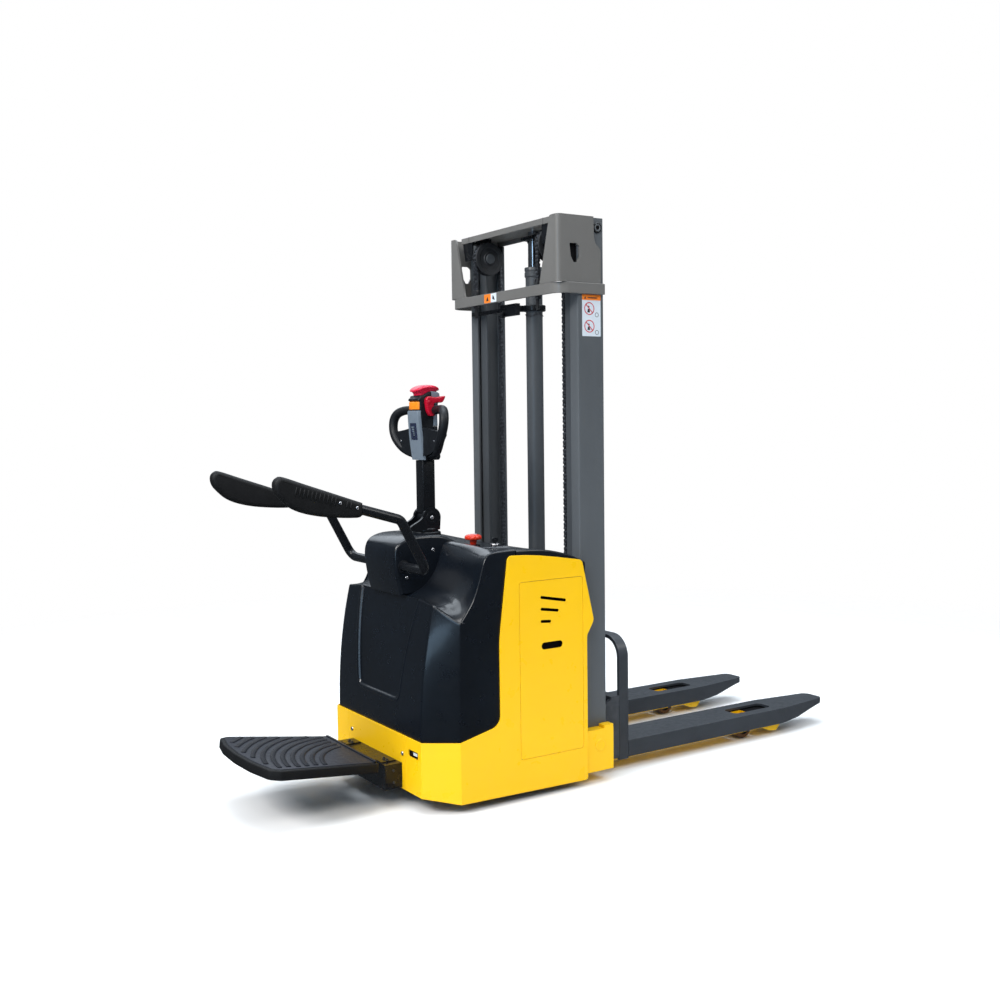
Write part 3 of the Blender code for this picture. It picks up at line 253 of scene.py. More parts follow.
BLACK = finish("black_enamel", (0.005, 0.006, 0.008), 0.3, mottle=0.15, scale=8, bump=0.05, grain=300,
    coat=0.15, coat_rough=0.12, specular=0.3, wear=0.25, worn=(0.05, 0.05, 0.06))
SATIN = finish("black_satin_plastic", (0.006, 0.0075, 0.01), 0.46, mottle=0.12, scale=20, bump=0.16,
    grain=900, specular=0.28)
RUBBER = finish("black_rubber", (0.006, 0.0062, 0.007), 0.58, mottle=0.15, scale=25, bump=0.3, grain=1100,
    specular=0.25)
MAT = finish("platform_mat_rubber", (0.016, 0.018, 0.026), 0.42, mottle=0.16, scale=11, bump=0.25,
    grain=700, specular=0.35, wear=0.4, worn=(0.09, 0.09, 0.12))
STUD = finish("platform_stud_rubber", (0.012, 0.014, 0.02), 0.42, mottle=0.15, scale=40, bump=0.2,
    grain=900, specular=0.25)
GREY = finish("grey_plastic", (0.15, 0.185, 0.225), 0.42, mottle=0.05, scale=30, bump=0.12, grain=1000,
    specular=0.35)
CRIMSON = finish("crimson_plastic", (0.56, 0.009, 0.043), 0.32, mottle=0.05, scale=40, bump=0.05, grain=900,
    coat=0.12, coat_rough=0.12, specular=0.3)
RED = finish("red_plastic", (0.44, 0.004, 0.022), 0.3, mottle=0.05, scale=40, bump=0.05, grain=900,
    coat=0.12, specular=0.3)
ORANGE = finish("orange_plastic", (0.95, 0.26, 0.012), 0.35, mottle=0.04, scale=60, bump=0.06, grain=900)
STOP = finish("stop_red_plastic", (0.7, 0.03, 0.006), 0.3, mottle=0.04, scale=60, bump=0.05, grain=900,
    coat=0.2)
STEEL = finish("zinc_plated_steel", (0.5, 0.5, 0.52), 0.26, 1.0, mottle=0.08, scale=60, bump=0.05,
    grain=900)
BOLT = finish("dark_plated_steel", (0.08, 0.082, 0.088), 0.34, 0.7, mottle=0.15, scale=60, bump=0.06,
    grain=900)
CHROME = finish("chromed_rod", (0.36, 0.38, 0.41), 0.1, 1.0, mottle=0.04, scale=20, spread=0.04, bump=0.02,
    grain=700, streak=0.1)
CHAIN = finish("oiled_chain_steel", (0.15, 0.16, 0.18), 0.3, 0.9, mottle=0.5, scale=90, spread=0.12,
    bump=0.12, grain=900)
CAST = finish("cast_iron", (0.03, 0.032, 0.036), 0.5, 0.3, mottle=0.2, scale=30, bump=0.35, grain=420)
TYRE = finish("polyurethane_tyre", (0.17, 0.075, 0.02), 0.45, mottle=0.12, scale=25, bump=0.15, grain=500,
    wear=0.4, worn=(0.22, 0.14, 0.08))
CASE = finish("battery_case", (0.012, 0.016, 0.026), 0.5, mottle=0.1, scale=15, bump=0.2, grain=600)
DISPLAY = finish("display_glass", (0.012, 0.018, 0.045), 0.12, mottle=0.25, scale=160, bump=0.01, coat=0.6)
PAPER = finish("label_white", (0.7, 0.77, 0.84), 0.35, mottle=0.02, scale=40, bump=0.02, coat=0.2)
LABEL_ORANGE = finish("label_orange", (0.88, 0.22, 0.02), 0.35, mottle=0.04, scale=60, bump=0.02)
LABEL_RED = finish("label_red", (0.6, 0.05, 0.07), 0.4, mottle=0.06, scale=80, bump=0.02)
INK = finish("label_ink", (0.02, 0.02, 0.025), 0.4, mottle=0.1, scale=80, bump=0.02)
# Near-black matt finish for painted shade: sheets, rims and discs set in holes, slots and recesses where
# there is only shade
PAINTED_SHADE = finish("painted_shade_black", (0.004, 0.004, 0.005), 0.8, mottle=0.2, scale=20, bump=0.2, specular=0.1)

# The CAD material slot listed for each look, unless a piece names its own
SLOTS = {look.name: slot for slot, looks in {
    "black_moulding": (HOOD,),
    "black_paint": (BLACK,),
    "black_plastic": (PAINTED_SHADE, DISPLAY, INK, SATIN),
    "black_rubber": (MAT, RUBBER, STUD),
    "bright_steel": (BOLT, CHROME, STEEL),
    "cast_iron": (CAST,),
    "crimson_plastic": (CRIMSON, RED),
    "fork_paint": (FORK,),
    "grey_plastic": (GREY, PAPER),
    "mast_paint": (CHANNEL, MAST, RAIL),
    "oiled_chain": (CHAIN,),
    "orange_plastic": (LABEL_ORANGE, LABEL_RED, ORANGE),
    "polyurethane_tyre": (TYRE,),
    "stop_red_plastic": (STOP,),
    "yellow_paint": (YELLOW,),
}.items() for look in looks}


# ---- Modelling helpers -------------------------------------------------------------------------
def rounded(points, radius, steps=6):
    """Round the corners of a closed outline. radius is one value, or one for each corner."""
    radii = radius if isinstance(radius, (list, tuple)) else [radius] * len(points)
    outline = []
    for index, point in enumerate(points):
        corner = Vector(point)
        back = (Vector(points[index - 1]) - corner).normalized()
        ahead = (Vector(points[(index + 1) % len(points)]) - corner).normalized()
        half = back.angle(ahead) / 2
        if radii[index] == 0 or half > math.radians(89):
            outline.append(tuple(corner))
            continue
        reach = radii[index] / math.tan(half)
        centre = corner + (back + ahead).normalized() * radii[index] / math.sin(half)
        start = corner + back * reach - centre
        sweep = start.angle_signed(corner + ahead * reach - centre)
        for step in range(steps + 1):
            outline.append(tuple(centre + Matrix.Rotation(-sweep * step / steps, 2) @ start))
    return outline


def spline(points, steps=6, closed=False):
    """A smooth curve through every point."""
    points = [Vector(p) for p in points]
    count = len(points)
    spans = count if closed else count - 1
    line = []
    for i in range(spans):
        if closed:
            a, b, c, d = (points[(i + k) % count] for k in (-1, 0, 1, 2))
        else:
            a, b, c, d = (points[min(max(i + k, 0), count - 1)] for k in (-1, 0, 1, 2))
        for step in range(steps):
            t = step / steps
            line.append(0.5 * (2 * b + (c - a) * t + (2 * a - 5 * b + 4 * c - d) * t * t
                + (3 * b - a - 3 * c + d) * t ** 3))
    if not closed:
        line.append(points[-1])
    return [tuple(p) for p in line]


def lookup(table, x):
    """Read a curve given as rising (x, value) pairs."""
    if x <= table[0][0]:
        return table[0][1]
    for (x0, v0), (x1, v1) in zip(table, table[1:]):
        if x <= x1:
            return v0 + (v1 - v0) * (x - x0) / (x1 - x0)
    return table[-1][1]


def ease(share):
    share = min(max(share, 0.0), 1.0)
    return share * share * (3 - 2 * share)


def circle(centre, radius, segments=32):
    turns = [2 * math.pi * i / segments for i in range(segments)]
    return [(centre[0] + radius * math.cos(a), centre[1] + radius * math.sin(a)) for a in turns]


def rectangle(low, high):
    return [(low[0], low[1]), (high[0], low[1]), (high[0], high[1]), (low[0], high[1])]


def slanted(pair, axis, height):
    values = list(pair)
    values.insert("XYZ".index(axis), height)
    return Vector(values)


def loft(rings):
    """A skin over rings of points with equal counts, closed at both ends."""
    bm = bmesh.new()
    grid = [[bm.verts.new(p) for p in ring] for ring in rings]
    for first, second in zip(grid, grid[1:]):
        for i in range(len(first)):
            j = (i + 1) % len(first)
            bm.faces.new((first[i], first[j], second[j], second[i]))
    bm.faces.new(grid[0])
    bm.faces.new(grid[-1])
    bmesh.ops.recalc_face_normals(bm, faces=bm.faces)
    return bm


def prism(outline, axis, low, high):
    """Extrude a closed outline along one axis; its pairs are the other two axes, in order."""
    return loft([[slanted(p, axis, level) for p in outline] for level in (low, high)])


def box(low, high):
    return prism(rectangle((low[0], low[1]), (high[0], high[1])), "Z", low[2], high[2])


def side_box(side, x, y, z):
    """A box on one side of the machine: y holds the two distances from the middle plane."""
    ys = sorted((side * y[0], side * y[1]))
    return box((x[0], ys[0], z[0]), (x[1], ys[1], z[1]))


def cylinder(axis, centre, radius, low, high, segments=32):
    return prism(circle(centre, radius, segments), axis, low, high)


def inset(outline, distance):
    """Shrink a smooth closed outline by a small distance."""
    area = sum(a[0] * b[1] - b[0] * a[1] for a, b in zip(outline, outline[1:] + outline[:1]))
    way = 1 if area > 0 else -1
    shrunk = []
    for i, point in enumerate(outline):
        back = Vector(point) - Vector(outline[i - 1])
        ahead = Vector(outline[(i + 1) % len(outline)]) - Vector(point)
        along = (back.normalized() + ahead.normalized()).normalized()
        shrunk.append((point[0] - way * along.y * distance, point[1] + way * along.x * distance))
    return shrunk


def cushion(outline, axis, low, high, radius, steps=4):
    """Extrude a closed outline and round over the edges of its ends."""
    rings = []
    stops = [math.pi / 2 * k / steps for k in range(steps + 1)]
    reach = radius if high > low else -radius
    for end, way, angles in ((low, reach, stops), (high, -reach, reversed(stops))):
        for angle in angles:
            level = end + way * (1 - math.cos(angle))
            rings.append([slanted(p, axis, level) for p in inset(outline, radius * (1 - math.sin(angle)))])
    return loft(rings)


def lathe(axis, centre, profile, segments=40):
    """Turn a closed profile of (radius, distance along the axis) about an axis."""
    bm = bmesh.new()
    rings = []
    for radius, level in profile:
        points = circle(centre, radius, segments) if radius > 1e-6 else [centre]
        rings.append([bm.verts.new(slanted(p, axis, level)) for p in points])
    for first, second in zip(rings, rings[1:] + rings[:1]):
        if len(first) == 1 and len(second) == 1:
            continue
        for i in range(segments):
            j = (i + 1) % segments
            corners = [first[i % len(first)], first[j % len(first)]]
            corners += [second[j % len(second)], second[i % len(second)]]
            bm.faces.new(list(dict.fromkeys(corners)))
    bmesh.ops.recalc_face_normals(bm, faces=bm.faces)
    return bm


def axial(side, centre, profile, segments=40):
    """Turn a profile about an axle along Y. Its levels are distances from the middle plane."""
    return lathe("Y", centre, [(radius, side * level) for radius, level in profile], segments)


def tube(path, radius, segments=20):
    """A round bar along a path. radius is one value, or one for each point."""
    path = [Vector(p) for p in path]
    radii = radius if isinstance(radius, (list, tuple)) else [radius] * len(path)
    rings, normal = [], None
    for index, point in enumerate(path):
        ahead = path[min(index + 1, len(path) - 1)] - path[max(index - 1, 0)]
        ahead.normalize()
        if normal is None:
            normal = ahead.orthogonal().normalized()
        normal = (normal - ahead * normal.dot(ahead)).normalized()
        across = ahead.cross(normal)
        turns = [2 * math.pi * i / segments for i in range(segments)]
        rings.append([point + (normal * math.cos(a) + across * math.sin(a)) * radii[index] for a in turns])
    return loft(rings)


def bent_path(points, radius, steps=10):
    """A path through points whose inner corners are replaced by arcs."""
    path = [Vector(points[0])]
    for before, corner, after in zip(points, points[1:], points[2:]):
        corner = Vector(corner)
        back = (Vector(before) - corner).normalized()
        ahead = (Vector(after) - corner).normalized()
        half = back.angle(ahead) / 2
        reach = radius / math.tan(half)
        centre = corner + (back + ahead).normalized() * radius / math.sin(half)
        start = corner + back * reach - centre
        end = corner + ahead * reach - centre
        axis = start.cross(end).normalized()
        sweep = start.angle(end)
        path += [centre + Matrix.Rotation(sweep * step / steps, 3, axis) @ start
            for step in range(steps + 1)]
    path.append(Vector(points[-1]))
    return path


def sheet(columns):
    """An open surface through columns of points, each column with the same number of points."""
    bm = bmesh.new()
    grid = [[bm.verts.new(point) for point in column] for column in columns]
    for first, second in zip(grid, grid[1:]):
        for a, b, c, d in zip(first, first[1:], second[1:], second):
            bm.faces.new((a, b, c, d))
    return bm


def joined(shapes):
    """Several solids as one mesh, without a Boolean."""
    whole = bmesh.new()
    for shape in shapes:
        mesh = bpy.data.meshes.new("shape")
        shape.to_mesh(mesh)
        shape.free()
        whole.from_mesh(mesh)
        bpy.data.meshes.remove(mesh)
    return whole


def held(bm):
    mesh = bpy.data.meshes.new("shape")
    bm.to_mesh(mesh)
    bm.free()
    shape = bpy.data.objects.new("shape", mesh)
    bpy.context.scene.collection.objects.link(shape)
    return shape


def evaluated(shape):
    bpy.context.view_layer.update()
    mesh = bpy.data.meshes.new_from_object(shape.evaluated_get(bpy.context.evaluated_depsgraph_get()))
    bm = bmesh.new()
    bm.from_mesh(mesh)
    bpy.data.meshes.remove(mesh)
    return bm


def combine(base, others, operation="UNION"):
    """Boolean a list of solids onto, or out of, a base solid."""
    target = held(base)
    tools = [held(other) for other in others]
    for tool in tools:
        step = target.modifiers.new("combine", "BOOLEAN")
        step.operation, step.solver, step.object = operation, "EXACT", tool
    result = evaluated(target)
    for helper in [target] + tools:
        bpy.data.objects.remove(helper, do_unlink=True)
    return result


def cut(base, cutters):
    return combine(base, cutters, "DIFFERENCE")


def shell(surface, thickness, towards, even=True):
    """Thicken an open surface into a wall on the side that faces the point `towards`."""
    bmesh.ops.recalc_face_normals(surface, faces=surface.faces)
    outward = sum(f.normal.dot(f.calc_center_median() - Vector(towards)) * f.calc_area()
        for f in surface.faces)
    if outward < 0:
        bmesh.ops.reverse_faces(surface, faces=surface.faces)
    helper = held(surface)
    wall = helper.modifiers.new("wall", "SOLIDIFY")
    wall.thickness, wall.offset, wall.use_even_offset = thickness, -1, even
    result = evaluated(helper)
    bpy.data.objects.remove(helper, do_unlink=True)
    return result


def piece(name, bm, look, body, nodes=(), slot=None, bevel=0.0, segments=3, sharp=35):
    """Finish a shape as a piece of the visual model that rides on a CAD body."""
    bmesh.ops.remove_doubles(bm, verts=bm.verts, dist=0.00001)
    bmesh.ops.translate(bm, verts=bm.verts, vec=(DATUM, 0, 0))
    mesh = bpy.data.meshes.new(name)
    bm.to_mesh(mesh)
    bm.free()
    made = bpy.data.objects.new(name, mesh)
    mesh.materials.append(look)
    bpy.context.scene.collection.objects.link(made)
    mesh.shade_smooth()
    if bevel:
        edge = made.modifiers.new("edge", "BEVEL")
        edge.width, edge.segments = bevel, segments
        edge.limit_method, edge.angle_limit = "ANGLE", math.radians(sharp)
        edge.harden_normals = True
    else:
        mesh.set_sharp_from_angle(angle=math.radians(sharp))
    if body:
        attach(made, body)
    if nodes:
        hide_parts(*nodes)
    slot = slot or SLOTS[look.name]
    return made


def stood(bm, at, direction):
    """Stand a shape made about the Z axis on a surface, at a point and along a direction."""
    turn = Vector(direction).to_track_quat("Z", "Y").to_matrix().to_4x4()
    bmesh.ops.transform(bm, verts=bm.verts, matrix=Matrix.Translation(at) @ turn)
    return bm


ROOT_3 = 1.732


def screw(at, direction, radius=0.006, height=0.0035, socket=True):
    """A button-head screw with a hexagon socket, standing on a surface at a point."""
    r, h = radius, height
    profile = [(0.0, -0.002), (r * 0.98, -0.002), (r, h * 0.25), (r * 0.93, h * 0.62), (r * 0.72, h * 0.92)]
    if socket:
        profile += [(r * 0.5, h), (r * 0.46, h * 0.95), (r * 0.45, h * 0.25), (0.0, h * 0.2)]
    else:
        profile += [(r * 0.4, h), (0.0, h)]
    return stood(lathe("Z", (0, 0), profile, 18), at, direction)


def hex_bolt(at, direction, flat=0.01, height=0.007):
    """A hexagon head over a washer."""
    head = cushion(circle((0, 0), flat / ROOT_3, 6), "Z", 0.001, height, 0.0008, 2)
    return stood(joined([head, cylinder("Z", (0, 0), flat * 0.95, -0.001, 0.0016, 20)]), at, direction)


# ---- Yellow covers, panels and skirt -----------------------------------------------------------
HALF_WIDTH = 0.424
SKIRT_TOP = 0.254
CHAMFER_X, CHAMFER_Y = 0.114, 0.082
PANEL_X, PANEL_Z = (0.366, 0.65), (0.15, 0.797)


def panel_outline(edge):
    low = (PANEL_X[0] + edge, PANEL_Z[0] + edge)
    high = (PANEL_X[1] - edge, PANEL_Z[1] - edge)
    return rounded(rectangle(low, high), 0.012 - edge)


def side_cover(word, side):
    corners = [(CHAMFER_X, 0.034, 0), (0.669, 0.025, 0.012), (0.669, 0.573, 0.03), (0.7015, 0.627, 0.03),
        (0.6475, 0.8575, 0.02), (0.59, 0.867, 0), (0.529, 0.877, 0), (0.46, 0.887, 0), (0.397, 0.893, 0),
        (0.3195, 0.8965, 0.02), (0.281, 0.6, 0.6), (0.281, 0.2925, 0.045), (CHAMFER_X, SKIRT_TOP, 0)]
    outline = rounded([c[:2] for c in corners], [c[2] for c in corners], 8)
    bm = bmesh.new()
    tall = [bm.verts.new((x, side * HALF_WIDTH, z)) for x, z in outline]
    corner = [bm.verts.new((0, side * (HALF_WIDTH - CHAMFER_Y), z)) for z in (0.056, SKIRT_TOP)]
    end = [bm.verts.new((0, side * 0.2345, z)) for z in (0.056, SKIRT_TOP)]
    bm.faces.new(tall)
    bm.faces.new((tall[0], tall[-1], corner[1], corner[0]))
    bm.faces.new((corner[0], corner[1], end[1], end[0]))
    cover = shell(bm, 0.006, (0.35, 0, 0.4))
    cutters = [prism(panel_outline(0), "Y", side * 0.4, side * 0.44)]
    if side < 0:
        slot = rounded(rectangle((-0.318, 0.188), (-0.248, 0.213)), 0.004)
        cutters.append(prism(slot, "X", -0.01, 0.02))
    piece("side_shell_" + word, cut(cover, cutters), YELLOW, "chassis", ["side_cover_" + word],
        bevel=0.0014)
    if side < 0:
        # A near-black sheet behind the slot: painted shade for the dark inside of the cover
        piece("slot_painted_shade", box((0.008, -0.325, 0.183), (0.01, -0.24, 0.218)), PAINTED_SHADE, "chassis")
        tag = cushion(rounded(rectangle((-0.303, 0.196), (-0.276, 0.206)), 0.001), "X", 0.0078, 0.005,
            0.0004)
        piece("slot_tag", tag, PAPER, "chassis")


def access_panel(word, side):
    plate = prism(panel_outline(0.0012), "Y", side * 0.419, side * 0.4235)
    slots = [(0.459, 0.574, 0.735, 0.7135, 0.0055), (0.459, 0.541, 0.692, 0.679, 0.0055),
        (0.459, 0.506, 0.6465, 0.6425, 0.0055), (0.462, 0.557, 0.555, 0.555, 0.013)]
    cutters = []
    for start, end, start_z, end_z, radius in slots:
        low, high = Vector((start, start_z)), Vector((end, end_z))
        along = (high - low).normalized()
        across = Vector((-along.y, along.x)) * radius
        corners = [low - across, high - across, high + across, low + across]
        cutters.append(prism(rounded([tuple(c) for c in corners], radius * 0.98), "Y", side * 0.4,
            side * 0.44))
    piece("panel_" + word, cut(plate, cutters), YELLOW, "chassis", ["access_panel_" + word], bevel=0.0008)
    # A near-black sheet behind the vent slots: painted shade for the dark inside of the cover
    shade_sheet = side_box(side, (0.4, 0.64), (0.404, 0.406), (0.52, 0.76))
    piece("vent_painted_shade_" + word, shade_sheet, PAINTED_SHADE, "chassis")
    # The hand slot's inner wall is a real lip; its near-black colour is painted shade inside the slot
    cup = rounded(rectangle((0.455, 0.538), (0.564, 0.572)), 0.016)
    rim = cut(prism(cup, "Y", side * 0.406, side * 0.4188), [prism(inset(cup, 0.003), "Y", side * 0.4075,
        side * 0.43)])
    piece("hand_cup_" + word, rim, PAINTED_SHADE, "chassis")


def skirt():
    plate = prism(rectangle((-0.2335, 0.056), (0.2335, SKIRT_TOP)), "X", 0, 0.006)
    piece("skirt_plate", plate, YELLOW, "chassis", ["rear_skirt"], bevel=0.0012)
    heads = [screw((0, y, 0.187), (-1, 0, 0), 0.008, 0.0045) for y in (-0.205, 0.205)]
    piece("skirt_screws", joined(heads), STEEL, "chassis")


# ---- Hood: rear cover, arm housing, deck and lid -----------------------------------------------
HOOD_HALF = 0.4175
HOOD_CORNER_Y = 0.334
HOOD_LOW, HOOD_BREAK = 0.2545, 0.7285
WING_EDGE = [(0.1245, 0.6695), (0.15, 0.703), (0.174, 0.738), (0.19, 0.775), (0.204, 0.813), (0.215, 0.849),
    (0.226, 0.882), (0.243, 0.902), (0.277, 0.909), (0.3555, 0.9115)]
CREST = [(0.06, 0.945), (0.1, 0.955), (0.15, 0.957), (0.23, 0.951), (0.28, 0.93), (0.32, 0.911),
    (0.36, 0.9025), (0.42, 0.899), (0.47, 0.896), (0.55, 0.886), (0.6, 0.875), (0.665, 0.855)]
SIDE_CREST = [(0.277, 0.909), (0.345, 0.912), (0.42, 0.911), (0.485, 0.906), (0.55, 0.893), (0.611, 0.875),
    (0.665, 0.849)]
LID_START = [(0.0, 0.47), (0.295, 0.47), (0.35, 0.359), (0.42, 0.359)]
SMOOTH_WING, SMOOTH_CREST, SMOOTH_SIDE = (spline(t, 5) for t in (WING_EDGE, CREST, SIDE_CREST))


def rear_face_x(z):
    rise = max(0.0, (z - SKIRT_TOP) / (HOOD_BREAK - SKIRT_TOP))
    return 0.0065 + 0.0545 * rise ** 2.2


def panel_half(z):
    return 0.16 + 0.064 * max(0.0, z - 0.37) / 0.35


def pressed(y, z):
    """How deep the rear cover's middle panel is pressed in at a point."""
    beside, above, radius = panel_half(z) - abs(y), z - 0.37, 0.025
    if beside < radius and above < radius:
        beside = radius - math.hypot(radius - beside, radius - above)
    depth = min(beside, above)
    lip = 0.0018 * math.exp(-((depth + 0.005) / 0.003) ** 2)
    return 0.0085 * ease(depth / 0.009) - lip


def hood_rear():
    heights = [0.28, 0.31, 0.34, 0.356, 0.359, 0.3615, 0.3635, 0.3655, 0.3675, 0.37, 0.3716, 0.3732, 0.3748,
        0.3764, 0.378, 0.38, 0.3875, 0.395, 0.41, 0.44, 0.48, 0.52, 0.56, 0.6, 0.64, 0.67, 0.7, 0.72, 0.731]
    top = HOOD_BREAK + 0.01
    shares = [0.0] + [(z - HOOD_LOW) / (top - HOOD_LOW) for z in heights] + [1.0]
    insets = (0.012, 0.01, 0.008, 0.0064, 0.0048, 0.0032, 0.0016, 0.0, -0.002, -0.0035, -0.005, -0.0065,
        -0.008, -0.011)
    wing_x = [0.128, 0.135, 0.142, 0.15, 0.158, 0.166, 0.174, 0.182, 0.19, 0.197, 0.204, 0.21, 0.215, 0.22,
        0.226, 0.234, 0.243, 0.255, 0.268, 0.285, 0.31, 0.3555]
    rows = []
    for share in shares:
        def corner_plan(z):
            side_x = CHAMFER_X + 0.0015 + 0.009 * share
            plan = [(rear_face_x(z), 0.2), (rear_face_x(z), HOOD_CORNER_Y), (side_x, HOOD_HALF),
                (0.36, HOOD_HALF)]
            return rounded(plan, [0, 0.014, 0.012, 0], 6)
        row = []
        z = HOOD_LOW + (top - HOOD_LOW) * share
        for part in (0, 0.3, 0.6, 0.85):
            y = (panel_half(z) - 0.014) * part
            row.append((rear_face_x(z) + pressed(y, z), y, z))
        for edge in insets:
            y = panel_half(z) - edge
            row.append((rear_face_x(z) + pressed(y, z), y, z))
        beside = panel_half(z) + 0.016
        for y in (beside + (0.318 - beside) * k / 4 for k in range(5)):
            z = HOOD_LOW + (HOOD_BREAK + 0.01 - 0.009 * ease((y - 0.225) / 0.1) - HOOD_LOW) * share
            row.append((rear_face_x(z), y, z))
        tops = [0.7293 - 0.0003 * k for k in range(7)]
        for k, height in enumerate(tops):
            z = HOOD_LOW + (height - HOOD_LOW) * share
            row.append((*corner_plan(z)[1 + k], z))
        for part in (0.2, 0.4, 0.6, 0.8):
            z = HOOD_LOW + (0.727 - 0.0555 * part - HOOD_LOW) * share
            plan = corner_plan(z)
            first, last = Vector(plan[7]), Vector(plan[8])
            row.append((*first.lerp(last, part), z))
        for k in range(7):
            z = HOOD_LOW + (0.6715 - 0.0003 * k - HOOD_LOW) * share
            row.append((*corner_plan(z)[8 + k], z))
        for x in wing_x:
            z = HOOD_LOW + (lookup(SMOOTH_WING, x) - HOOD_LOW) * share
            row.append((x, HOOD_HALF, z))
        rows.append(row)
    brim = [Vector(p) for p in rows[-1]]
    for inward, lift in ((0.0012, 0.0028), (0.0038, 0.0042), (0.008, 0.0044)):
        row = []
        for k, point in enumerate(brim):
            along = brim[min(k + 1, len(brim) - 1)] - brim[max(k - 1, 0)]
            within = Vector((along.y, -along.x, 0)).normalized()
            row.append(tuple(point + within * inward + Vector((0, 0, lift))))
        rows.append(row)
    half = [list(column) for column in zip(*rows)]
    columns = [[(x, -y, z) for x, y, z in column] for column in reversed(half[1:])] + half
    cover = shell(sheet(columns), 0.004, (0.3, 0, 0.45), even=False)
    piece("hood_rear", cover, HOOD, "chassis", ["rear_cover"], bevel=0.0016, sharp=42)


def deck_z(x, y):
    share = min(1.0, abs(y) / 0.413) ** 2
    return lookup(SMOOTH_CREST, x) * (1 - share) + lookup(SMOOTH_SIDE, x) * share


HOUSING_HALF = 0.126


def arm_housing():
    nose = spline([(0.049, 0.7425), (0.037, 0.79), (0.028, 0.84), (0.025, 0.885), (0.031, 0.915),
        (0.045, 0.935), (0.07, 0.948), (0.105, 0.9555), (0.15, 0.957), (0.19, 0.956), (0.23, 0.951),
        (0.28, 0.93), (0.315, 0.912), (0.345, 0.901)], 4)
    outline = nose + [(0.34, 0.88), (0.255, 0.8), (0.19, 0.7425)]
    body = cushion(outline, "Y", -HOUSING_HALF, HOUSING_HALF, 0.013, 6)
    body = cut(body, [cylinder("Y", ARM_PIVOT, 0.0235, side * 0.1, side * 0.14) for side in (-1, 1)])
    piece("arm_housing", body, HOOD, "chassis", bevel=0.0008, segments=2, sharp=50)
    heads, washers = [], []
    for side in (-1, 1):
        for x, z in ((0.184, 0.902), (0.073, 0.807)):
            heads.append(screw((x, side * HOUSING_HALF, z), (0, side, 0), 0.0068, 0.004))
        washers.append(axial(side, ARM_PIVOT, [(0.0178, 0.118), (0.0232, 0.118), (0.0232, 0.1275),
            (0.0178, 0.1285)]))
    piece("housing_screws", joined(heads), STEEL, "chassis")
    piece("arm_bushes", joined(washers), SATIN, "chassis")
    bezel = lathe("Z", (STEER_X, 0), [(0.022, 0.945), (0.056, 0.94), (0.055, 0.9555), (0.05, 0.9598),
        (0.022, 0.9602)])
    piece("steer_bezel", bezel, SATIN, "chassis", bevel=0.001)


def hood_deck():
    wall = [(0.0685, 0.7415), (0.105, 0.752), (0.155, 0.78), (0.196, 0.835), (0.218, 0.895), (0.238, 0.925)]
    scoops = [
        (0.0, wall), (0.065, wall), (0.13, wall),
        (0.25, [(0.0685, 0.74), (0.105, 0.747), (0.155, 0.768), (0.202, 0.825), (0.228, 0.882),
         (0.252, 0.911)]),
        (0.334, [(0.0685, 0.731), (0.108, 0.733), (0.158, 0.752), (0.203, 0.812), (0.229, 0.878),
         (0.252, 0.904)]),
        (0.375, [(0.098, 0.703), (0.13, 0.712), (0.168, 0.742), (0.206, 0.812), (0.229, 0.88),
         (0.252, 0.905)]),
        (0.413, [(0.129, 0.6695), (0.152, 0.703), (0.176, 0.738), (0.205, 0.812), (0.228, 0.881),
         (0.25, 0.904)]),
    ]
    stations = [(-y, points) for y, points in reversed(scoops[1:])] + scoops
    grid = []
    for y, points in stations:
        end = lookup(LID_START, abs(y)) - 0.001
        run = [0.285 + (end - 0.285) * i / 5 for i in range(6)]
        grid.append([Vector((x, y, z)) for x, z in points] + [Vector((x, y, deck_z(x, y))) for x in run])
    lines = [spline(line, 6) for line in zip(*grid)]
    columns = [spline(column, 5) for column in zip(*lines)]
    cover = shell(sheet(columns), 0.004, (0.3, 0, 0.3), even=False)
    holes = [cylinder("Z", ESTOP, 0.0235, 0.8, 1.05), cylinder("Z", KEY, 0.0155, 0.8, 1.05)]
    piece("hood_deck", cut(cover, holes), HOOD, "chassis", ["top_cover"], bevel=0.0013, sharp=48)

    columns = []
    for i in range(17):
        y = -0.232 + 0.134 * i / 16
        column = []
        for j in range(25):
            x = 0.298 + 0.172 * j / 24
            edge = min(x - 0.298, 0.47 - x, y + 0.232, -0.098 - y)
            column.append((x, y, deck_z(x, y) - 0.0022 + 0.005 * ease(edge / 0.012)))
        columns.append(column)
    patch = cut(shell(sheet(columns), 0.003, (0.38, -0.165, 0.5)), [cylinder("Z", ESTOP, 0.0225, 0.8, 1.05),
        cylinder("Z", KEY, 0.015, 0.8, 1.05)])
    piece("dash_pad", patch, HOOD, "chassis")


def hood_lid():
    columns = []
    edge = [(0.4115, 0), (0.4145, 0.001), (0.4166, 0.0034), (HOOD_HALF, 0.007), (HOOD_HALF, 0.052)]
    side = [(0.0, 0), (0.06, 0), (0.12, 0), (0.18, 0), (0.24, 0), (0.295, 0), (0.309, 0), (0.322, 0),
        (0.336, 0), (0.35, 0), (0.365, 0), (0.38, 0), (0.395, 0), (0.405, 0)] + edge
    for y, drop in [(-y, drop) for y, drop in reversed(side[1:])] + side:
        start = lookup(LID_START, abs(y)) + 0.001
        xs = [start + (0.659 - start) * i / 16 for i in range(17)]
        column = [(x, y, deck_z(x, y) - drop) for x in xs]
        front = deck_z(0.659, y)
        for x, fall in ((0.6625, 0.0022), (0.6648, 0.0055), (0.6655, 0.0105), (0.6655, 0.06)):
            column.append((x, y, min(front - fall, front - drop - 0.0005 * fall)))
        columns.append(column)
    lid = shell(sheet(columns), 0.004, (0.5, 0, 0.3), even=False)
    piece("hood_lid", lid, HOOD, "chassis", ["battery_lid"], bevel=0.0012, sharp=48)


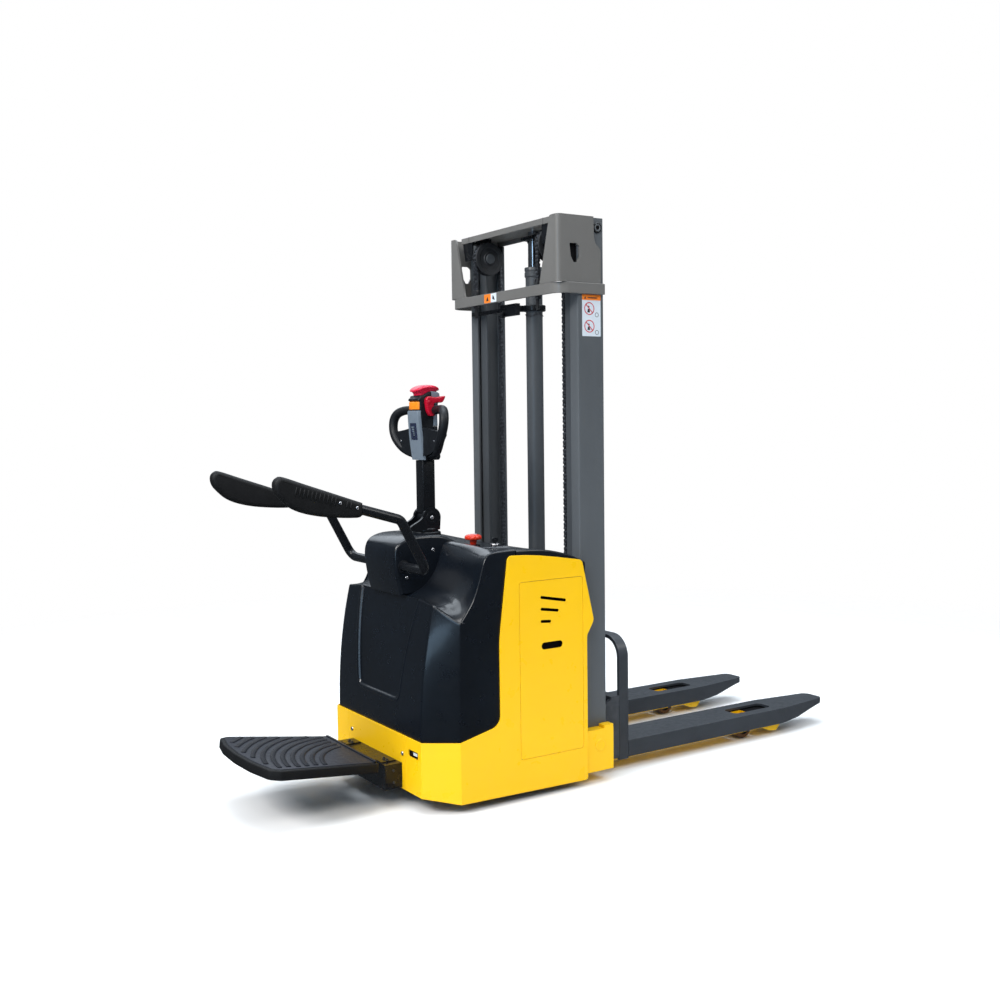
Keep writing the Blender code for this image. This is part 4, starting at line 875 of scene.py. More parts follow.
# ---- Deck controls -----------------------------------------------------------------------------
def controls():
    x, y = ESTOP
    collar = lathe("Z", ESTOP, [(0.0128, 0.9), (0.0225, 0.9), (0.0262, 0.9085), (0.0262, 0.911),
        (0.0225, 0.9135), (0.0128, 0.9135)])
    piece("estop_collar", collar, SATIN, "chassis", bevel=0.0006)
    head = [(0.0, 0.88), (0.0115, 0.88), (0.0115, 0.918), (0.0135, 0.92), (0.0135, 0.928), (0.019, 0.93),
        (0.029, 0.9315), (0.0318, 0.9345), (0.0325, 0.939), (0.031, 0.944), (0.0262, 0.948),
        (0.018, 0.9502), (0.009, 0.9512), (0.0, 0.9515)]
    flutes = [cylinder("Z", spot, 0.0042, 0.925, 0.96, 16) for spot in circle(ESTOP, 0.0345, 10)]
    piece("estop_mushroom", cut(lathe("Z", ESTOP, head, 60), flutes), STOP, "estop", ["estop_button"],
        bevel=0.0007, segments=2, sharp=45)
    arrows = []
    for k in range(3):
        a = 2 * math.pi * k / 3
        arc = [(x + r * math.cos(a + t), y + r * math.sin(a + t)) for r, t in [(0.0155, 0.1 * s)
            for s in range(12)] + [(0.0125, 1.1 - 0.1 * s) for s in range(12)]]
        arrows.append(prism(arc, "Z", 0.949, 0.9516))
    piece("estop_marks", joined(arrows), PAPER, "estop")

    x, y = KEY
    bezel = lathe("Z", KEY, [(0.0068, 0.898), (0.0165, 0.898), (0.0185, 0.9105), (0.0175, 0.9125),
        (0.011, 0.9135), (0.01, 0.9118), (0.0068, 0.9118)])
    piece("key_bezel", bezel, STEEL, "chassis", bevel=0.0004)
    bow = rounded([(x - 0.0045, 0.9125), (x + 0.0045, 0.9125), (x + 0.0045, 0.9175), (x + 0.0125, 0.92),
        (x + 0.0125, 0.935), (x - 0.0125, 0.935), (x - 0.0125, 0.92), (x - 0.0045, 0.9175)],
        [0, 0, 0.001, 0.004, 0.006, 0.006, 0.004, 0.001])
    grip = cut(prism(bow, "Y", y - 0.0024, y + 0.0024), [cylinder("Y", (x, 0.93), 0.0028, y - 0.01,
        y + 0.01)])
    piece("key_bow", grip, SATIN, "key", bevel=0.0008)
    blade = joined([cylinder("Z", KEY, 0.0058, 0.89, 0.9128), box((x - 0.004, y - 0.0012, 0.912),
        (x + 0.004, y + 0.0012, 0.92))])
    piece("key_blade", blade, STEEL, "key", ["key"], bevel=0.0003)


# ---- Straddle legs, wheels and forks -----------------------------------------------------------
FORK_HEEL, FORK_CENTRE = 0.9335, 0.252
FORK_LENGTH = 1.15
LEG_WINDOW_X = (1.556, 1.662)


def leg(word, side):
    middle = FORK_CENTRE
    beam = side_box(side, (0.6555, 1.7), (middle - 0.0625, middle + 0.0625), (0.036, 0.097))
    nose = rounded([(1.69, 0.036), (1.738, 0.018), (1.778, 0.013), (1.802, 0.04), (1.802, 0.072),
        (1.775, 0.097), (1.69, 0.097)], [0, 0.02, 0.02, 0.018, 0.018, 0.015, 0], 5)
    nose = prism(nose, "Y", side * (middle - 0.0625), side * (middle + 0.0625))
    link = side_box(side, (0.6555, 0.797), (middle - 0.06, 0.415), (0.045, 0.0965))
    block = side_box(side, (0.672, 0.797), (0.3455, 0.415), (0.046, 0.205))
    tab = side_box(side, (0.755, 0.7965), (0.3795, 0.4145), (0.2, 0.217))
    solid = combine(beam, [nose, link, block, tab])
    window = side_box(side, LEG_WINDOW_X, (middle - 0.04, middle + 0.04), (0.0, 0.2))
    piece("straddle_" + word, cut(solid, [window]), YELLOW, "chassis", ["leg_" + word], bevel=0.0025)
    boss = axial(side, (0.734, 0.144), [(0.0, 0.412), (0.0235, 0.412), (0.0235, 0.416), (0.0215, 0.4178),
        (0.0165, 0.4178), (0.0145, 0.4164), (0.0, 0.4164)])
    piece("axle_boss_" + word, boss, YELLOW, "chassis", bevel=0.0004)
    ends = [cylinder("Y", (LOAD_WHEEL_X, LOAD_WHEEL_R), 0.009, side * (middle - 0.05),
        side * (middle + 0.05), 24)]
    ends += [screw((LOAD_WHEEL_X, side * (middle + way * 0.0625), LOAD_WHEEL_R), (0, side * way, 0), 0.01,
        0.003) for way in (-1, 1)]
    piece("leg_hardware_" + word, joined(ends), BOLT, "chassis")
    # A near-black sheet on the leg top round the wheel window, seen through the fork window: painted shade
    # under the fork
    leg_shade_sheet = cut(side_box(side, (1.535, 1.795), (middle - 0.058, middle + 0.058), (0.097, 0.0976)),
        [side_box(side, LEG_WINDOW_X, (middle - 0.04, middle + 0.04), (0.0, 0.2))])
    piece("leg_top_painted_shade_" + word, leg_shade_sheet, PAINTED_SHADE, "chassis", slot="black_rubber")


def wheel(name, body, node, centre, radius, half, hub, spokes=0):
    """A tyre with grooved shoulders on a cast hub. centre is (x, y, z), and the axle is along Y."""
    x, y, z = centre
    tread = [(hub, -half), (radius * 0.93, -half), (radius - 0.0025, -half + 0.0012),
        (radius, -half + 0.0045), (radius, half - 0.0045), (radius - 0.0025, half - 0.0012),
        (radius * 0.93, half), (hub, half)]
    piece(name, lathe("Y", (x, z), [(r, y + level) for r, level in tread], 56), TYRE, body, [node],
        bevel=0.0008)
    dish, bore = half * 0.55, 0.01 if radius < 0.1 else 0.0165
    disc = [(bore, -half * 0.92), (bore + 0.01, -half * 0.92), (bore + 0.012, -dish), (hub - 0.006, -dish),
        (hub - 0.002, -half + 0.0008), (hub, -half + 0.0008), (hub, half - 0.0008),
        (hub - 0.002, half - 0.0008), (hub - 0.006, dish), (bore + 0.012, dish), (bore + 0.01, half * 0.92),
        (bore, half * 0.92)]
    parts = [lathe("Y", (x, z), [(r, y + level) for r, level in disc], 40)]
    for nut_x, nut_z in circle((x, z), (bore + 0.01 + hub) / 2, spokes):
        parts += [screw((nut_x, y + way * dish, nut_z), (0, way, 0), hub * 0.1, 0.004) for way in (-1, 1)]
    piece(name + "_hub", joined(parts), CAST, body)


def fork(word, side):
    """An inverted channel with a tapered, turned-down tip, a wheel window and a heel deck."""
    tip = FORK_HEEL + FORK_LENGTH
    inner, outer = FORK_CENTRE - 0.0885, FORK_CENTRE + 0.0885
    plan = [(FORK_HEEL, inner), (1.8, inner), (tip, FORK_CENTRE - 0.052), (tip, FORK_CENTRE + 0.052),
        (1.8, outer), (FORK_HEEL, outer)]
    plan = rounded([(x, side * y) for x, y in plan], [0, 0.25, 0.032, 0.032, 0.25, 0], 8)
    solid = prism(plan, "Z", 0.047, 0.113)
    under = side_box(side, (FORK_HEEL - 0.01, 1.83), (inner + 0.008, outer - 0.008), (0.0, 0.103))
    ramp = [(1.76, 0.0), (2.2, 0.0), (2.2, 0.094), (2.075, 0.091), (2.04, 0.086), (1.99, 0.076),
        (1.9, 0.056), (1.79, 0.047)]
    window = rounded(rectangle((1.56, side * FORK_CENTRE - 0.0385), (1.772, side * FORK_CENTRE + 0.0385)),
        0.018, 6)
    solid = cut(solid, [under, prism(ramp, "Y", side * 0.1, side * 0.4), prism(window, "Z", 0.05, 0.2)])
    heel = side_box(side, (0.861, FORK_HEEL + 0.004), (inner + 0.0015, 0.3245), (0.101, 0.113))
    made = combine(solid, [heel])
    piece("blade_" + word, made, FORK, "carriage", ["fork_" + word], bevel=0.0035)
    welds = [tube([(FORK_HEEL - 0.001, side * y, 0.113) for y in (inner + 0.012, FORK_CENTRE,
        outer - 0.02)], 0.0028, 10)]
    piece("fork_weld_" + word, joined(welds), FORK, "carriage")


# ---- Mast --------------------------------------------------------------------------------------
def rail_section(rear, front, outer, flange, web, lip, root):
    """Section of a rolled channel open towards the middle plane, as (x, distance from the middle)."""
    inner = outer - flange
    corners = [(rear, inner, 0.003), (rear + lip, inner, 0.004), (rear + lip, outer - web, root),
        (front - lip, outer - web, root), (front - lip, inner, 0.004), (front, inner, 0.003),
        (front, outer, 0.006), (rear, outer, 0.006)]
    return rounded([c[:2] for c in corners], [c[2] for c in corners], 4)


def at_height(table, z):
    return lookup([(b, a) for a, b in table], z)


def outer_mast(word, side):
    outline = [(x, side * y) for x, y in rail_section(0.674, 0.795, 0.375, 0.05, 0.009, 0.012, 0.01)]
    piece("outer_rail_" + word, prism(outline, "Z", 0.2055, 2.12), CHANNEL, "chassis",
        ["mast_channel_" + word], bevel=0.0012, segments=2, sharp=60)

    low, top = 1.8785, 2.1225
    heights = [low, 1.905, 1.935, 1.965, 1.985, 1.993, 2.0, 2.006, 2.012, 2.018, 2.025, 2.034, 2.045, 2.07,
        2.095, 2.11, 2.1195, top]
    front = spline([(0.776, low), (0.776, 1.94), (0.776, 1.985), (0.773, 2.003), (0.764, 2.014),
        (0.753, 2.023), (0.746, 2.04), (0.7445, 2.065), (0.7435, 2.1), (0.7435, top)], 5)
    inner = [(0.266, low), (0.3255, 2.095), (0.3285, 2.112), (0.333, 2.1195), (0.34, top)]
    rear, edge, bend = 0.5785, 0.3835, 0.019
    columns = []
    for z in heights:
        fx, iy = at_height(front, z), at_height(inner, z)
        row = [(fx, side * edge, z)]
        row += [(fx + (rear + bend - fx) * k / 5, side * edge, z) for k in range(1, 5)]
        for k in range(9):
            a = math.pi / 2 * k / 8
            row.append((rear + bend * (1 - math.sin(a)), side * (edge - bend * (1 - math.cos(a))), z))
        row += [(rear, side * (edge - bend + (iy - edge + bend) * k / 4), z) for k in range(1, 5)]
        columns.append(row)
    cheek = shell(sheet(columns), 0.008, (0.75, 0, 2.0))
    drop = [(0.632, 2.02), (0.664, 2.02), (0.677, 2.01), (0.677, 1.972), (0.664, 1.95), (0.65, 1.95),
        (0.638, 1.972)]
    hole = prism(rounded(drop, [0.006, 0.006, 0.008, 0.01, 0.006, 0.006, 0.01], 6), "Y", side * 0.3,
        side * 0.45)
    # A near-black sheet inside the near cheek, seen through its drop hole: painted shade
    if side < 0:
        shade_sheet = side_box(side, (0.616, 0.69), (0.366, 0.368), (1.935, 2.035))
        piece("cheek_hole_painted_shade", shade_sheet, PAINTED_SHADE, "chassis")
    piece("head_cheek_" + word, cut(cheek, [hole]), MAST, "chassis", ["cheek_" + word], bevel=0.0018)

    boss = [(0.0, 0.372), (0.019, 0.372), (0.019, 0.3808), (0.0178, 0.3822), (0.015, 0.3822),
        (0.0145, 0.3805), (0.0, 0.3805)]
    piece("head_bolt_" + word, axial(side, HEAD_BOLT, boss), BLACK, "chassis")
    ring = [(0.008, 0.38), (0.014, 0.38), (0.014, 0.3818), (0.0128, 0.383), (0.0098, 0.383),
        (0.0088, 0.3818), (0.008, 0.3812)]
    piece("head_washer_" + word, axial(side, HEAD_BOLT, ring), CHANNEL, "chassis")
    # A flat near-black hexagon on the bolt end: painted shade standing in for the socket recess
    socket = cushion(circle(HEAD_BOLT, 0.0078, 6), "Y", side * 0.3795, side * 0.3812, 0.0003, 2)
    piece("head_socket_painted_shade_" + word, socket, PAINTED_SHADE, "chassis")

    outline = [(x, side * y) for x, y in rail_section(0.6875, 0.7815, 0.324, 0.049, 0.008, 0.01, 0.008)]
    piece("inner_rail_" + word, prism(outline, "Z", 0.12, 2.1), RAIL, "inner_mast",
        ["inner_channel_" + word], bevel=0.0012, segments=2, sharp=60)
    rollers = []
    for z in (0.3, 0.62):
        rollers.append(axial(side, (0.7345, z), [(0.01, 0.324), (0.043, 0.324), (0.045, 0.326),
            (0.045, 0.359), (0.043, 0.361), (0.01, 0.361)], 36))
    piece("mast_rollers_" + word, joined(rollers), STEEL, "inner_mast", bevel=0.0006)


def mast_ring():
    def plan(outer, rear, radius):
        return rounded([(0.793, -outer), (rear, -outer), (rear, outer), (0.793, outer)],
            [0, radius, radius, 0], 14)

    bar = plan(0.3875, 0.578, 0.058)
    inner = list(reversed(plan(0.3755, 0.59, 0.046)))
    ring = prism(bar + inner, "Z", 1.838, 1.878)
    piece("head_ring", ring, MAST, "chassis", ["mast_ring"], bevel=0.0022, sharp=50)
    tabs, rods = [], []
    for side in (-1, 1):
        y = side * 0.218
        tabs.append(side_box(side, (0.589, 0.62), (0.199, 0.237), (1.848, 1.864)))
        rod = [(0.0, 1.79), (0.0068, 1.79)]
        for k in range(24):
            z = 1.792 + 0.0024 * k
            rod += [(0.0076, z), (0.0064, z + 0.0012)]
        rod += [(0.0075, 1.866), (0.0075, 1.892), (0.0, 1.892)]
        rods.append(lathe("Z", (0.604, y), rod, 20))
        for z in (1.8285, 1.8385):
            rods.append(cushion(circle((0.604, y), 0.0132, 6), "Z", z, z + 0.0088, 0.0012, 2))
        yoke = rounded(rectangle((0.5965, 1.884), (0.6115, 1.9045)), 0.003)
        rods += [cushion(yoke, "Y", y + way * 0.004, y + way * 0.0115, 0.001, 2) for way in (-1, 1)]
    piece("chain_tabs", joined(tabs), MAST, "chassis", bevel=0.001)
    piece("chain_rods", joined(rods), BOLT, "chassis")


def lift_cylinder():
    profile = [(0.0, 0.1), (0.04, 0.1), (0.0412, 0.102), (0.0412, 0.122), (0.036, 0.128), (0.0335, 0.131),
        (0.0335, 1.938), (0.035, 1.94), (0.0372, 1.943), (0.0372, 1.958), (0.0355, 1.96), (0.0355, 1.963),
        (0.0372, 1.965), (0.0372, 1.976), (0.036, 1.978), (0.0245, 1.978), (0.024, 1.972), (0.024, 0.28),
        (0.0, 0.28)]
    piece("cylinder_tube", lathe("Z", (CYLINDER_X, 0), profile, 56), RAIL, "chassis", ["lift_cylinder"])
    tie = cushion(rounded(rectangle((0.676, 0.05), (0.797, 0.0995)), 0.006), "Y", -0.1885, 0.1885, 0.002, 2)
    piece("foot_tie", tie, MAST, "chassis", ["mast_foot_tie"])
    clamp = combine(lathe("Z", (CYLINDER_X, 0), [(0.0338, 1.806), (0.044, 1.806), (0.0455, 1.808),
        (0.0455, 1.827), (0.044, 1.829), (0.0338, 1.829)]), [box((0.658, 0.1, 1.81),
        (0.6735, 0.345, 1.824)), box((0.654, 0.004, 1.79), (0.6735, 0.118, 1.836)),
        cylinder("X", (0.098, 1.799), 0.0145, 0.644, 0.66), prism([(0.656, 0.012), (0.6735, 0.06),
        (0.715, 0.042), (0.7, 0.012)], "Z", 1.8065, 1.8285)])
    piece("clamp_bar", clamp, BLACK, "chassis", ["cylinder_clamp"], bevel=0.0012)
    bolts = [hex_bolt((x, y, z), (-1, 0, 0), 0.009, 0.008) for x, y, z in ((0.644, 0.098, 1.799),
        (0.658, 0.32, 1.817))]
    piece("clamp_bolts", joined(bolts), BOLT, "chassis")
    wire = [(CYLINDER_X + 0.0352 * math.cos(a), 0.0352 * math.sin(a), 1.79 + 0.004 * math.sin(3 * a))
        for a in [math.pi * (0.35 + 1.45 * k / 22) for k in range(23)]]
    piece("clamp_wire", tube(wire, 0.0015, 8), BOLT, "chassis")


# ---- Mast head: beam, sheaves and chains -------------------------------------------------------
SHEAVE = (0.664, 2.033)
CHAIN_Y, CHAIN_R, PITCH = 0.221, 0.06, 0.0159


def head_beam():
    beam = box((0.6, -0.3225, 2.1005), (0.779, 0.3225, 2.124))
    beam = cut(beam, [box((0.606, -0.31, 2.09), (0.773, 0.31, 2.1185))])
    piece("head_beam", beam, MAST, "inner_mast", ["inner_top_beam"], bevel=0.0015)
    caps = [side_box(side, (0.5995, 0.64), (0.262, 0.2635), (2.1005, 2.1243)) for side in (-1, 1)]
    piece("beam_seams", joined(caps), BLACK, "inner_mast")
    plates, pins = [], []
    for side in (-1, 1):
        outline = rounded([(0.634, 2.119), (0.694, 2.119), (0.694, 2.045), (0.676, 2.003), (0.652, 2.003),
            (0.634, 2.045)], [0, 0, 0.02, 0.012, 0.012, 0.02])
        plates.append(prism(outline, "Y", side * 0.2395, side * 0.2465))
        gusset = [(side * 0.2465, 2.119), (side * 0.318, 2.119), (side * 0.314, 2.085), (side * 0.3, 2.03),
            (side * 0.2465, 2.03)]
        plates.append(prism(gusset, "X", 0.604, 0.612))
        pins.append(axial(side, SHEAVE, [(0.0, 0.1975), (0.0185, 0.1975), (0.02, 0.199), (0.02, 0.2045),
            (0.012, 0.205), (0.012, 0.25), (0.0, 0.25)]))
    piece("sheave_brackets", joined(plates), BLACK, "inner_mast", bevel=0.0012)
    piece("sheave_pins", joined(pins), RAIL, "inner_mast")
    head = lathe("Z", (CYLINDER_X, 0), [(0.0, 2.118), (0.0225, 2.118), (0.0225, 0.3), (0.0, 0.3)], 48)
    seat = cushion(rounded(rectangle((0.709, -0.05), (0.769, 0.05)), 0.006), "Z", 2.087, 2.1002, 0.0015, 2)
    piece("ram_seat", seat, BLACK, "inner_mast")
    caps = [hex_bolt((CYLINDER_X, side * 0.037, 2.087), (0, 0, -1), 0.0085, 0.008) for side in (-1, 1)]
    piece("ram_bolts", joined(caps), BOLT, "inner_mast")
    piece("ram", head, CHROME, "inner_mast", ["lift_rod"], bevel=0.0006)


def sheave(word, side):
    centre = side * CHAIN_Y
    profile = [(0.0125, -0.014), (0.024, -0.0145), (0.0255, -0.0125), (0.027, -0.011), (0.044, -0.011),
        (0.046, -0.0125), (0.048, -0.0145), (0.064, -0.0145), (0.066, -0.013), (0.066, -0.0112),
        (0.0545, -0.0105), (0.0545, 0.0105), (0.066, 0.0112), (0.066, 0.013), (0.064, 0.0145),
        (0.048, 0.0145), (0.046, 0.0125), (0.044, 0.011), (0.027, 0.011), (0.0255, 0.0125), (0.024, 0.0145),
        (0.0125, 0.014)]
    piece("pulley_" + word, lathe("Y", SHEAVE, [(r, centre + level) for r, level in profile], 56), CAST,
        "sheave_" + word, ["sheave_" + word], bevel=0.0005, segments=2)


def chain_links(path, y):
    """Leaf chain along a path in X and Z: plates laced three and two, on pins a pitch apart."""
    parts = bmesh.new()

    def add(outline, low, high):
        ends = [[parts.verts.new((p[0], level, p[1])) for p in outline] for level in (low, high)]
        for i in range(len(outline)):
            j = (i + 1) % len(outline)
            parts.faces.new((ends[0][i], ends[0][j], ends[1][j], ends[1][i]))
        parts.faces.new(ends[0][::-1])
        parts.faces.new(ends[1])

    for index, (first, second) in enumerate(zip(path, path[1:])):
        first, second = Vector(first), Vector(second)
        along = (second - first).normalized()
        across = Vector((-along.y, along.x))
        outline = []
        for point, way in ((second, 1), (first, -1)):
            for a in (-75, -38, 0, 38, 75):
                turn = math.radians(a) * way
                outline.append(point + (along * math.cos(turn) * way + across * math.sin(turn)) * 0.0064)
        middle = (first + second) / 2
        outline.insert(5, middle + across * 0.0042)
        outline.append(middle - across * 0.0042)
        rows = (-0.0086, -0.0017, 0.0052) if index % 2 else (-0.0052, 0.0017)
        for row in rows:
            add(outline, y + row, y + row + 0.0032)
    for point in path:
        add(circle(point, 0.0027, 8), y - 0.01, y + 0.01)
    bmesh.ops.recalc_face_normals(parts, faces=parts.faces)
    return parts


def chains():
    x, z = SHEAVE
    for word, side in SIDES:
        count = round((z - 0.4325) / PITCH)
        drop = [(x + CHAIN_R, z - (z - 0.4325) * i / count) for i in range(count + 1)]
        front = piece("front_chain_" + word, chain_links(drop, side * CHAIN_Y), CHAIN, "inner_mast",
            ["chain_front_" + word], sharp=30)
        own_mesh(front)
        wrap = [(x + CHAIN_R * math.cos(math.pi * i / 12), z + CHAIN_R * math.sin(math.pi * i / 12))
            for i in range(13)]
        piece("wrap_chain_" + word, chain_links(wrap, side * CHAIN_Y), CHAIN, "inner_mast", sharp=30)
        low = 1.895
        rise = [(x - CHAIN_R, low + (z - low) * i / 9) for i in range(10)]
        rear = piece("rear_chain_" + word, chain_links(rise, side * CHAIN_Y), CHAIN, None,
            ["chain_rear_" + word], sharp=30)
        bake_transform(rear)


# ---- Carriage ----------------------------------------------------------------------------------
def carriage():
    def arch(outer, top, radius):
        corners = [(-outer, 0.04), (-outer, top), (outer, top), (outer, 0.04)]
        return rounded(corners, [0, radius, radius, 0], 16)

    outline = arch(0.3405, 0.529, 0.085) + list(reversed(arch(0.3245, 0.513, 0.069)))
    piece("load_hoop", prism(outline, "X", 0.8865, 0.933), FORK, "carriage", ["carriage_hoop"], bevel=0.003,
        sharp=50)
    bolts = [hex_bolt((0.8455, side * y, z), (-1, 0, 0), 0.011, 0.008) for side in (-1, 1) for y,
        z in ((0.2, 0.155), (0.2, 0.26), (0.12, 0.208))]
    piece("carriage_bolts", joined(bolts), STEEL, "carriage")
    ends = [axial(side, (0.7345, z), [(0.0, 0.31), (0.011, 0.31), (0.011, 0.3135), (0.0095, 0.3145),
        (0.0, 0.3145)], 24) for side in (-1, 1) for z in (0.18, 0.44)]
    piece("carriage_roller_pins", joined(ends), STEEL, "carriage")


# ---- Drive unit and casters --------------------------------------------------------------------
def running_gear():
    wheel("drive_tyre", "drive_wheel", "drive_wheel", (STEER_X, 0, DRIVE_WHEEL_R), DRIVE_WHEEL_R, 0.0375,
        0.084, spokes=5)
    for word, side in SIDES:
        wheel("load_roller_" + word, "load_wheel_" + word, "load_wheel_" + word,
            (LOAD_WHEEL_X, side * FORK_CENTRE, LOAD_WHEEL_R), LOAD_WHEEL_R, 0.0375, 0.026)
        wheel("caster_tyre_" + word, "caster_wheel_" + word, "caster_wheel_" + word,
            (CASTER_X, side * CASTER_Y, CASTER_R), CASTER_R, 0.024, 0.036, spokes=4)
        nuts = [hex_bolt((CASTER_X, side * CASTER_Y + way * 0.036, CASTER_R), (0, way, 0), 0.009, 0.007)
            for way in (-1, 1)]
        piece("caster_nuts_" + word, joined(nuts), STEEL, "caster_" + word)
    bolts = [hex_bolt((x, y, 0.2805), (0, 0, 1), 0.009, 0.008) for x, y in circle((STEER_X, 0), 0.103, 8)]
    bolts += [hex_bolt((x, 0.079, z), (0, 1, 0), 0.008, 0.006) for x, z in circle((STEER_X, DRIVE_WHEEL_R),
        0.038, 6)]
    piece("drive_bolts", joined(bolts), STEEL, "steer")


# ---- Tiller ------------------------------------------------------------------------------------
def tiller_stem():
    arm = cushion(rounded(rectangle((0.2025, -0.0275), (0.2555, 0.0275)), 0.004), "Z", 1.03, 1.229, 0.002,
        2)
    eye = cylinder("Y", (STEER_X, TILLER_PIVOT_Z), 0.026, -0.025, 0.025)
    neck = box((0.209, -0.025, 1.013), (0.249, 0.025, 1.04))
    bore = cylinder("Y", (STEER_X, TILLER_PIVOT_Z), 0.0083, -0.05, 0.05)
    piece("tiller_stem", cut(combine(arm, [eye, neck]), [bore]), BLACK, "tiller", ["tiller_arm"],
        bevel=0.002, sharp=40)

    foot = lathe("Z", (STEER_X, 0), [(0.0, 0.9605), (0.044, 0.9605), (0.0455, 0.962), (0.0455, 0.97),
        (0.043, 0.9725), (0.0, 0.9725)], 48)
    ears = []
    for side in (-1, 1):
        ear = [(0.2665, 0.966), (0.27, 1.013)]
        ear += [(0.232 + 0.038 * math.cos(a), 1.013 + 0.038 * math.sin(a)) for a in [math.pi * i / 20
            for i in range(1, 20)]]
        ear += [(0.1965, 1.02), (0.19, 1.011), (0.178, 1.002), (0.162, 0.994), (0.148, 0.987),
            (0.138, 0.978), (0.134, 0.9665)]
        ears.append(prism(ear, "Y", side * 0.0285, side * 0.04))
    block = box((0.195, -0.035, 0.968), (0.263, 0.035, 0.979))
    pin = cylinder("Y", (STEER_X, TILLER_PIVOT_Z), 0.008, -0.035, 0.035)
    piece("tiller_yoke", combine(foot, ears + [block, pin]), BLACK, "steer", ["tiller_base"], bevel=0.0025,
        sharp=40)
    caps = [screw((0.232, side * 0.04, 1.013), (0, side, 0), 0.0085, 0.005) for side in (-1, 1)]
    piece("yoke_screws", joined(caps), STEEL, "steer")
    rings = [axial(side, (0.232, 1.013), [(0.015, 0.0395), (0.024, 0.0395), (0.0232, 0.0418),
        (0.016, 0.0418)]) for side in (-1, 1)]
    piece("yoke_rings", joined(rings), BLACK, "steer")


def tiller_head():
    body = spline([(0.206, 1.23), (0.197, 1.3), (0.191, 1.36), (0.1875, 1.415), (0.1875, 1.45)], 4)
    body += [(0.1815, 1.454), (0.183, 1.46), (0.189, 1.464), (0.1915, 1.47), (0.205, 1.474), (0.225, 1.485),
        (0.24, 1.487), (0.244, 1.47), (0.244, 1.23)]
    loops, webs = [], []
    for side in (-1, 1):
        line = [(0.24, 0.03, 1.414), (0.239, 0.07, 1.416), (0.235, 0.105, 1.4185), (0.224, 0.146, 1.417),
            (0.211, 0.175, 1.407), (0.203, 0.191, 1.387), (0.199, 0.194, 1.362), (0.197, 0.187, 1.334),
            (0.198, 0.169, 1.306), (0.206, 0.141, 1.278), (0.216, 0.109, 1.26), (0.224, 0.07, 1.25),
            (0.228, 0.03, 1.246)]
        radii = [0.016, 0.016, 0.0163, 0.0168, 0.0175, 0.0178, 0.0175, 0.017, 0.0165, 0.016, 0.0155, 0.015,
            0.015]
        dense = spline([(x, side * y, z) for x, y, z in line], 4)
        spread = [p[0] for p in spline([(r, 0) for r in radii], 4)]
        loops.append(tube(dense, spread, 24))
        web = spline([(0.03, 1.355), (0.08, 1.346), (0.13, 1.34), (0.178, 1.336)], 4)
        web += spline([(0.186, 1.325), (0.166, 1.302), (0.136, 1.275), (0.104, 1.258), (0.066, 1.248),
            (0.03, 1.244)], 4)
        webs.append(prism([(side * y, z) for y, z in web], "X", 0.1965, 0.2175))
    head = combine(cushion(body, "Y", -0.042, 0.042, 0.006, 4), loops + webs)
    holes = [cylinder("Y", THROTTLE, 0.0064, -0.1, 0.1), box((0.16, -0.0385, 1.418),
        (0.1985, 0.0385, 1.45)), box((0.199, -0.031, 1.476), (0.256, 0.031, 1.5))]
    piece("tiller_grip", cut(head, holes), SATIN, "tiller", ["tiller_head"], bevel=0.0022, segments=3,
        sharp=38)
    dots = [screw((0.1968, side * 0.127, 1.301), (-1, 0, 0), 0.0036, 0.0022) for side in (-1, 1)]
    piece("grip_screws", joined(dots), STEEL, "tiller")

    front = [(0.2445, 1.357), (0.2445, 1.46), (0.236, 1.468), (0.236, 1.4885), (0.262, 1.485),
        (0.272, 1.48), (0.274, 1.464), (0.266, 1.445), (0.262, 1.4), (0.2628, 1.357)]
    piece("head_shell", cushion(front, "Y", -0.044, 0.044, 0.005, 4), GREY, "tiller", bevel=0.0015,
        sharp=45)
    lower = [(0.2445, 1.23), (0.2445, 1.3565), (0.2628, 1.3565), (0.264, 1.33), (0.272, 1.27),
        (0.274, 1.24), (0.268, 1.23)]
    collar = cushion([(0.208, 1.2297), (0.207, 1.242), (0.215, 1.252), (0.264, 1.252), (0.264, 1.2297)],
        "Y", -0.041, 0.041, 0.006, 4)
    piece("head_base", combine(cushion(lower, "Y", -0.0432, 0.0432, 0.006, 4), [collar]), SATIN, "tiller",
        bevel=0.0015, sharp=45)

    strip = []
    for z, x, half in ((1.2305, 0.1955, 0.045), (1.242, 0.1935, 0.046), (1.27, 0.19, 0.0465),
            (1.31, 0.185, 0.046), (1.35, 0.1812, 0.045), (1.385, 0.1785, 0.044), (1.41, 0.177, 0.043),
            (1.4155, 0.1785, 0.042)):
        ring = rounded([(x + 0.013, -half), (x, -half + 0.004), (x, half - 0.004), (x + 0.013, half)],
            [0.001, 0.005, 0.005, 0.001], 4)
        strip.append([(px, py, z) for px, py in ring])
    piece("cover_strip", loft(strip), GREY, "tiller", ["head_cover"], bevel=0.001, sharp=50)
    glass = []
    for z, x in ((1.306, 0.1854), (1.338, 0.1822), (1.369, 0.1796)):
        ring = rounded([(x, -0.0245), (x - 0.0007, -0.0225), (x - 0.0007, 0.0225), (x, 0.0245)],
            [0, 0.0004, 0.0004, 0], 2)
        glass.append([(px, py, z) for px, py in ring])
    piece("head_display", loft(glass), DISPLAY, "tiller")
    gauge = [prism(rectangle((-0.013, 1.322 + 0.0075 * k), (-0.013 + 0.005 + 0.003 * k,
        1.326 + 0.0075 * k)), "X", 0.1804, 0.1834) for k in range(5)]
    for bar, k in zip(gauge, range(5)):
        bmesh.ops.translate(bar, verts=bar.verts, vec=(0.0003 - 0.00076 * k, 0.006, 0))
    piece("display_bars", joined(gauge), GREY, "tiller")

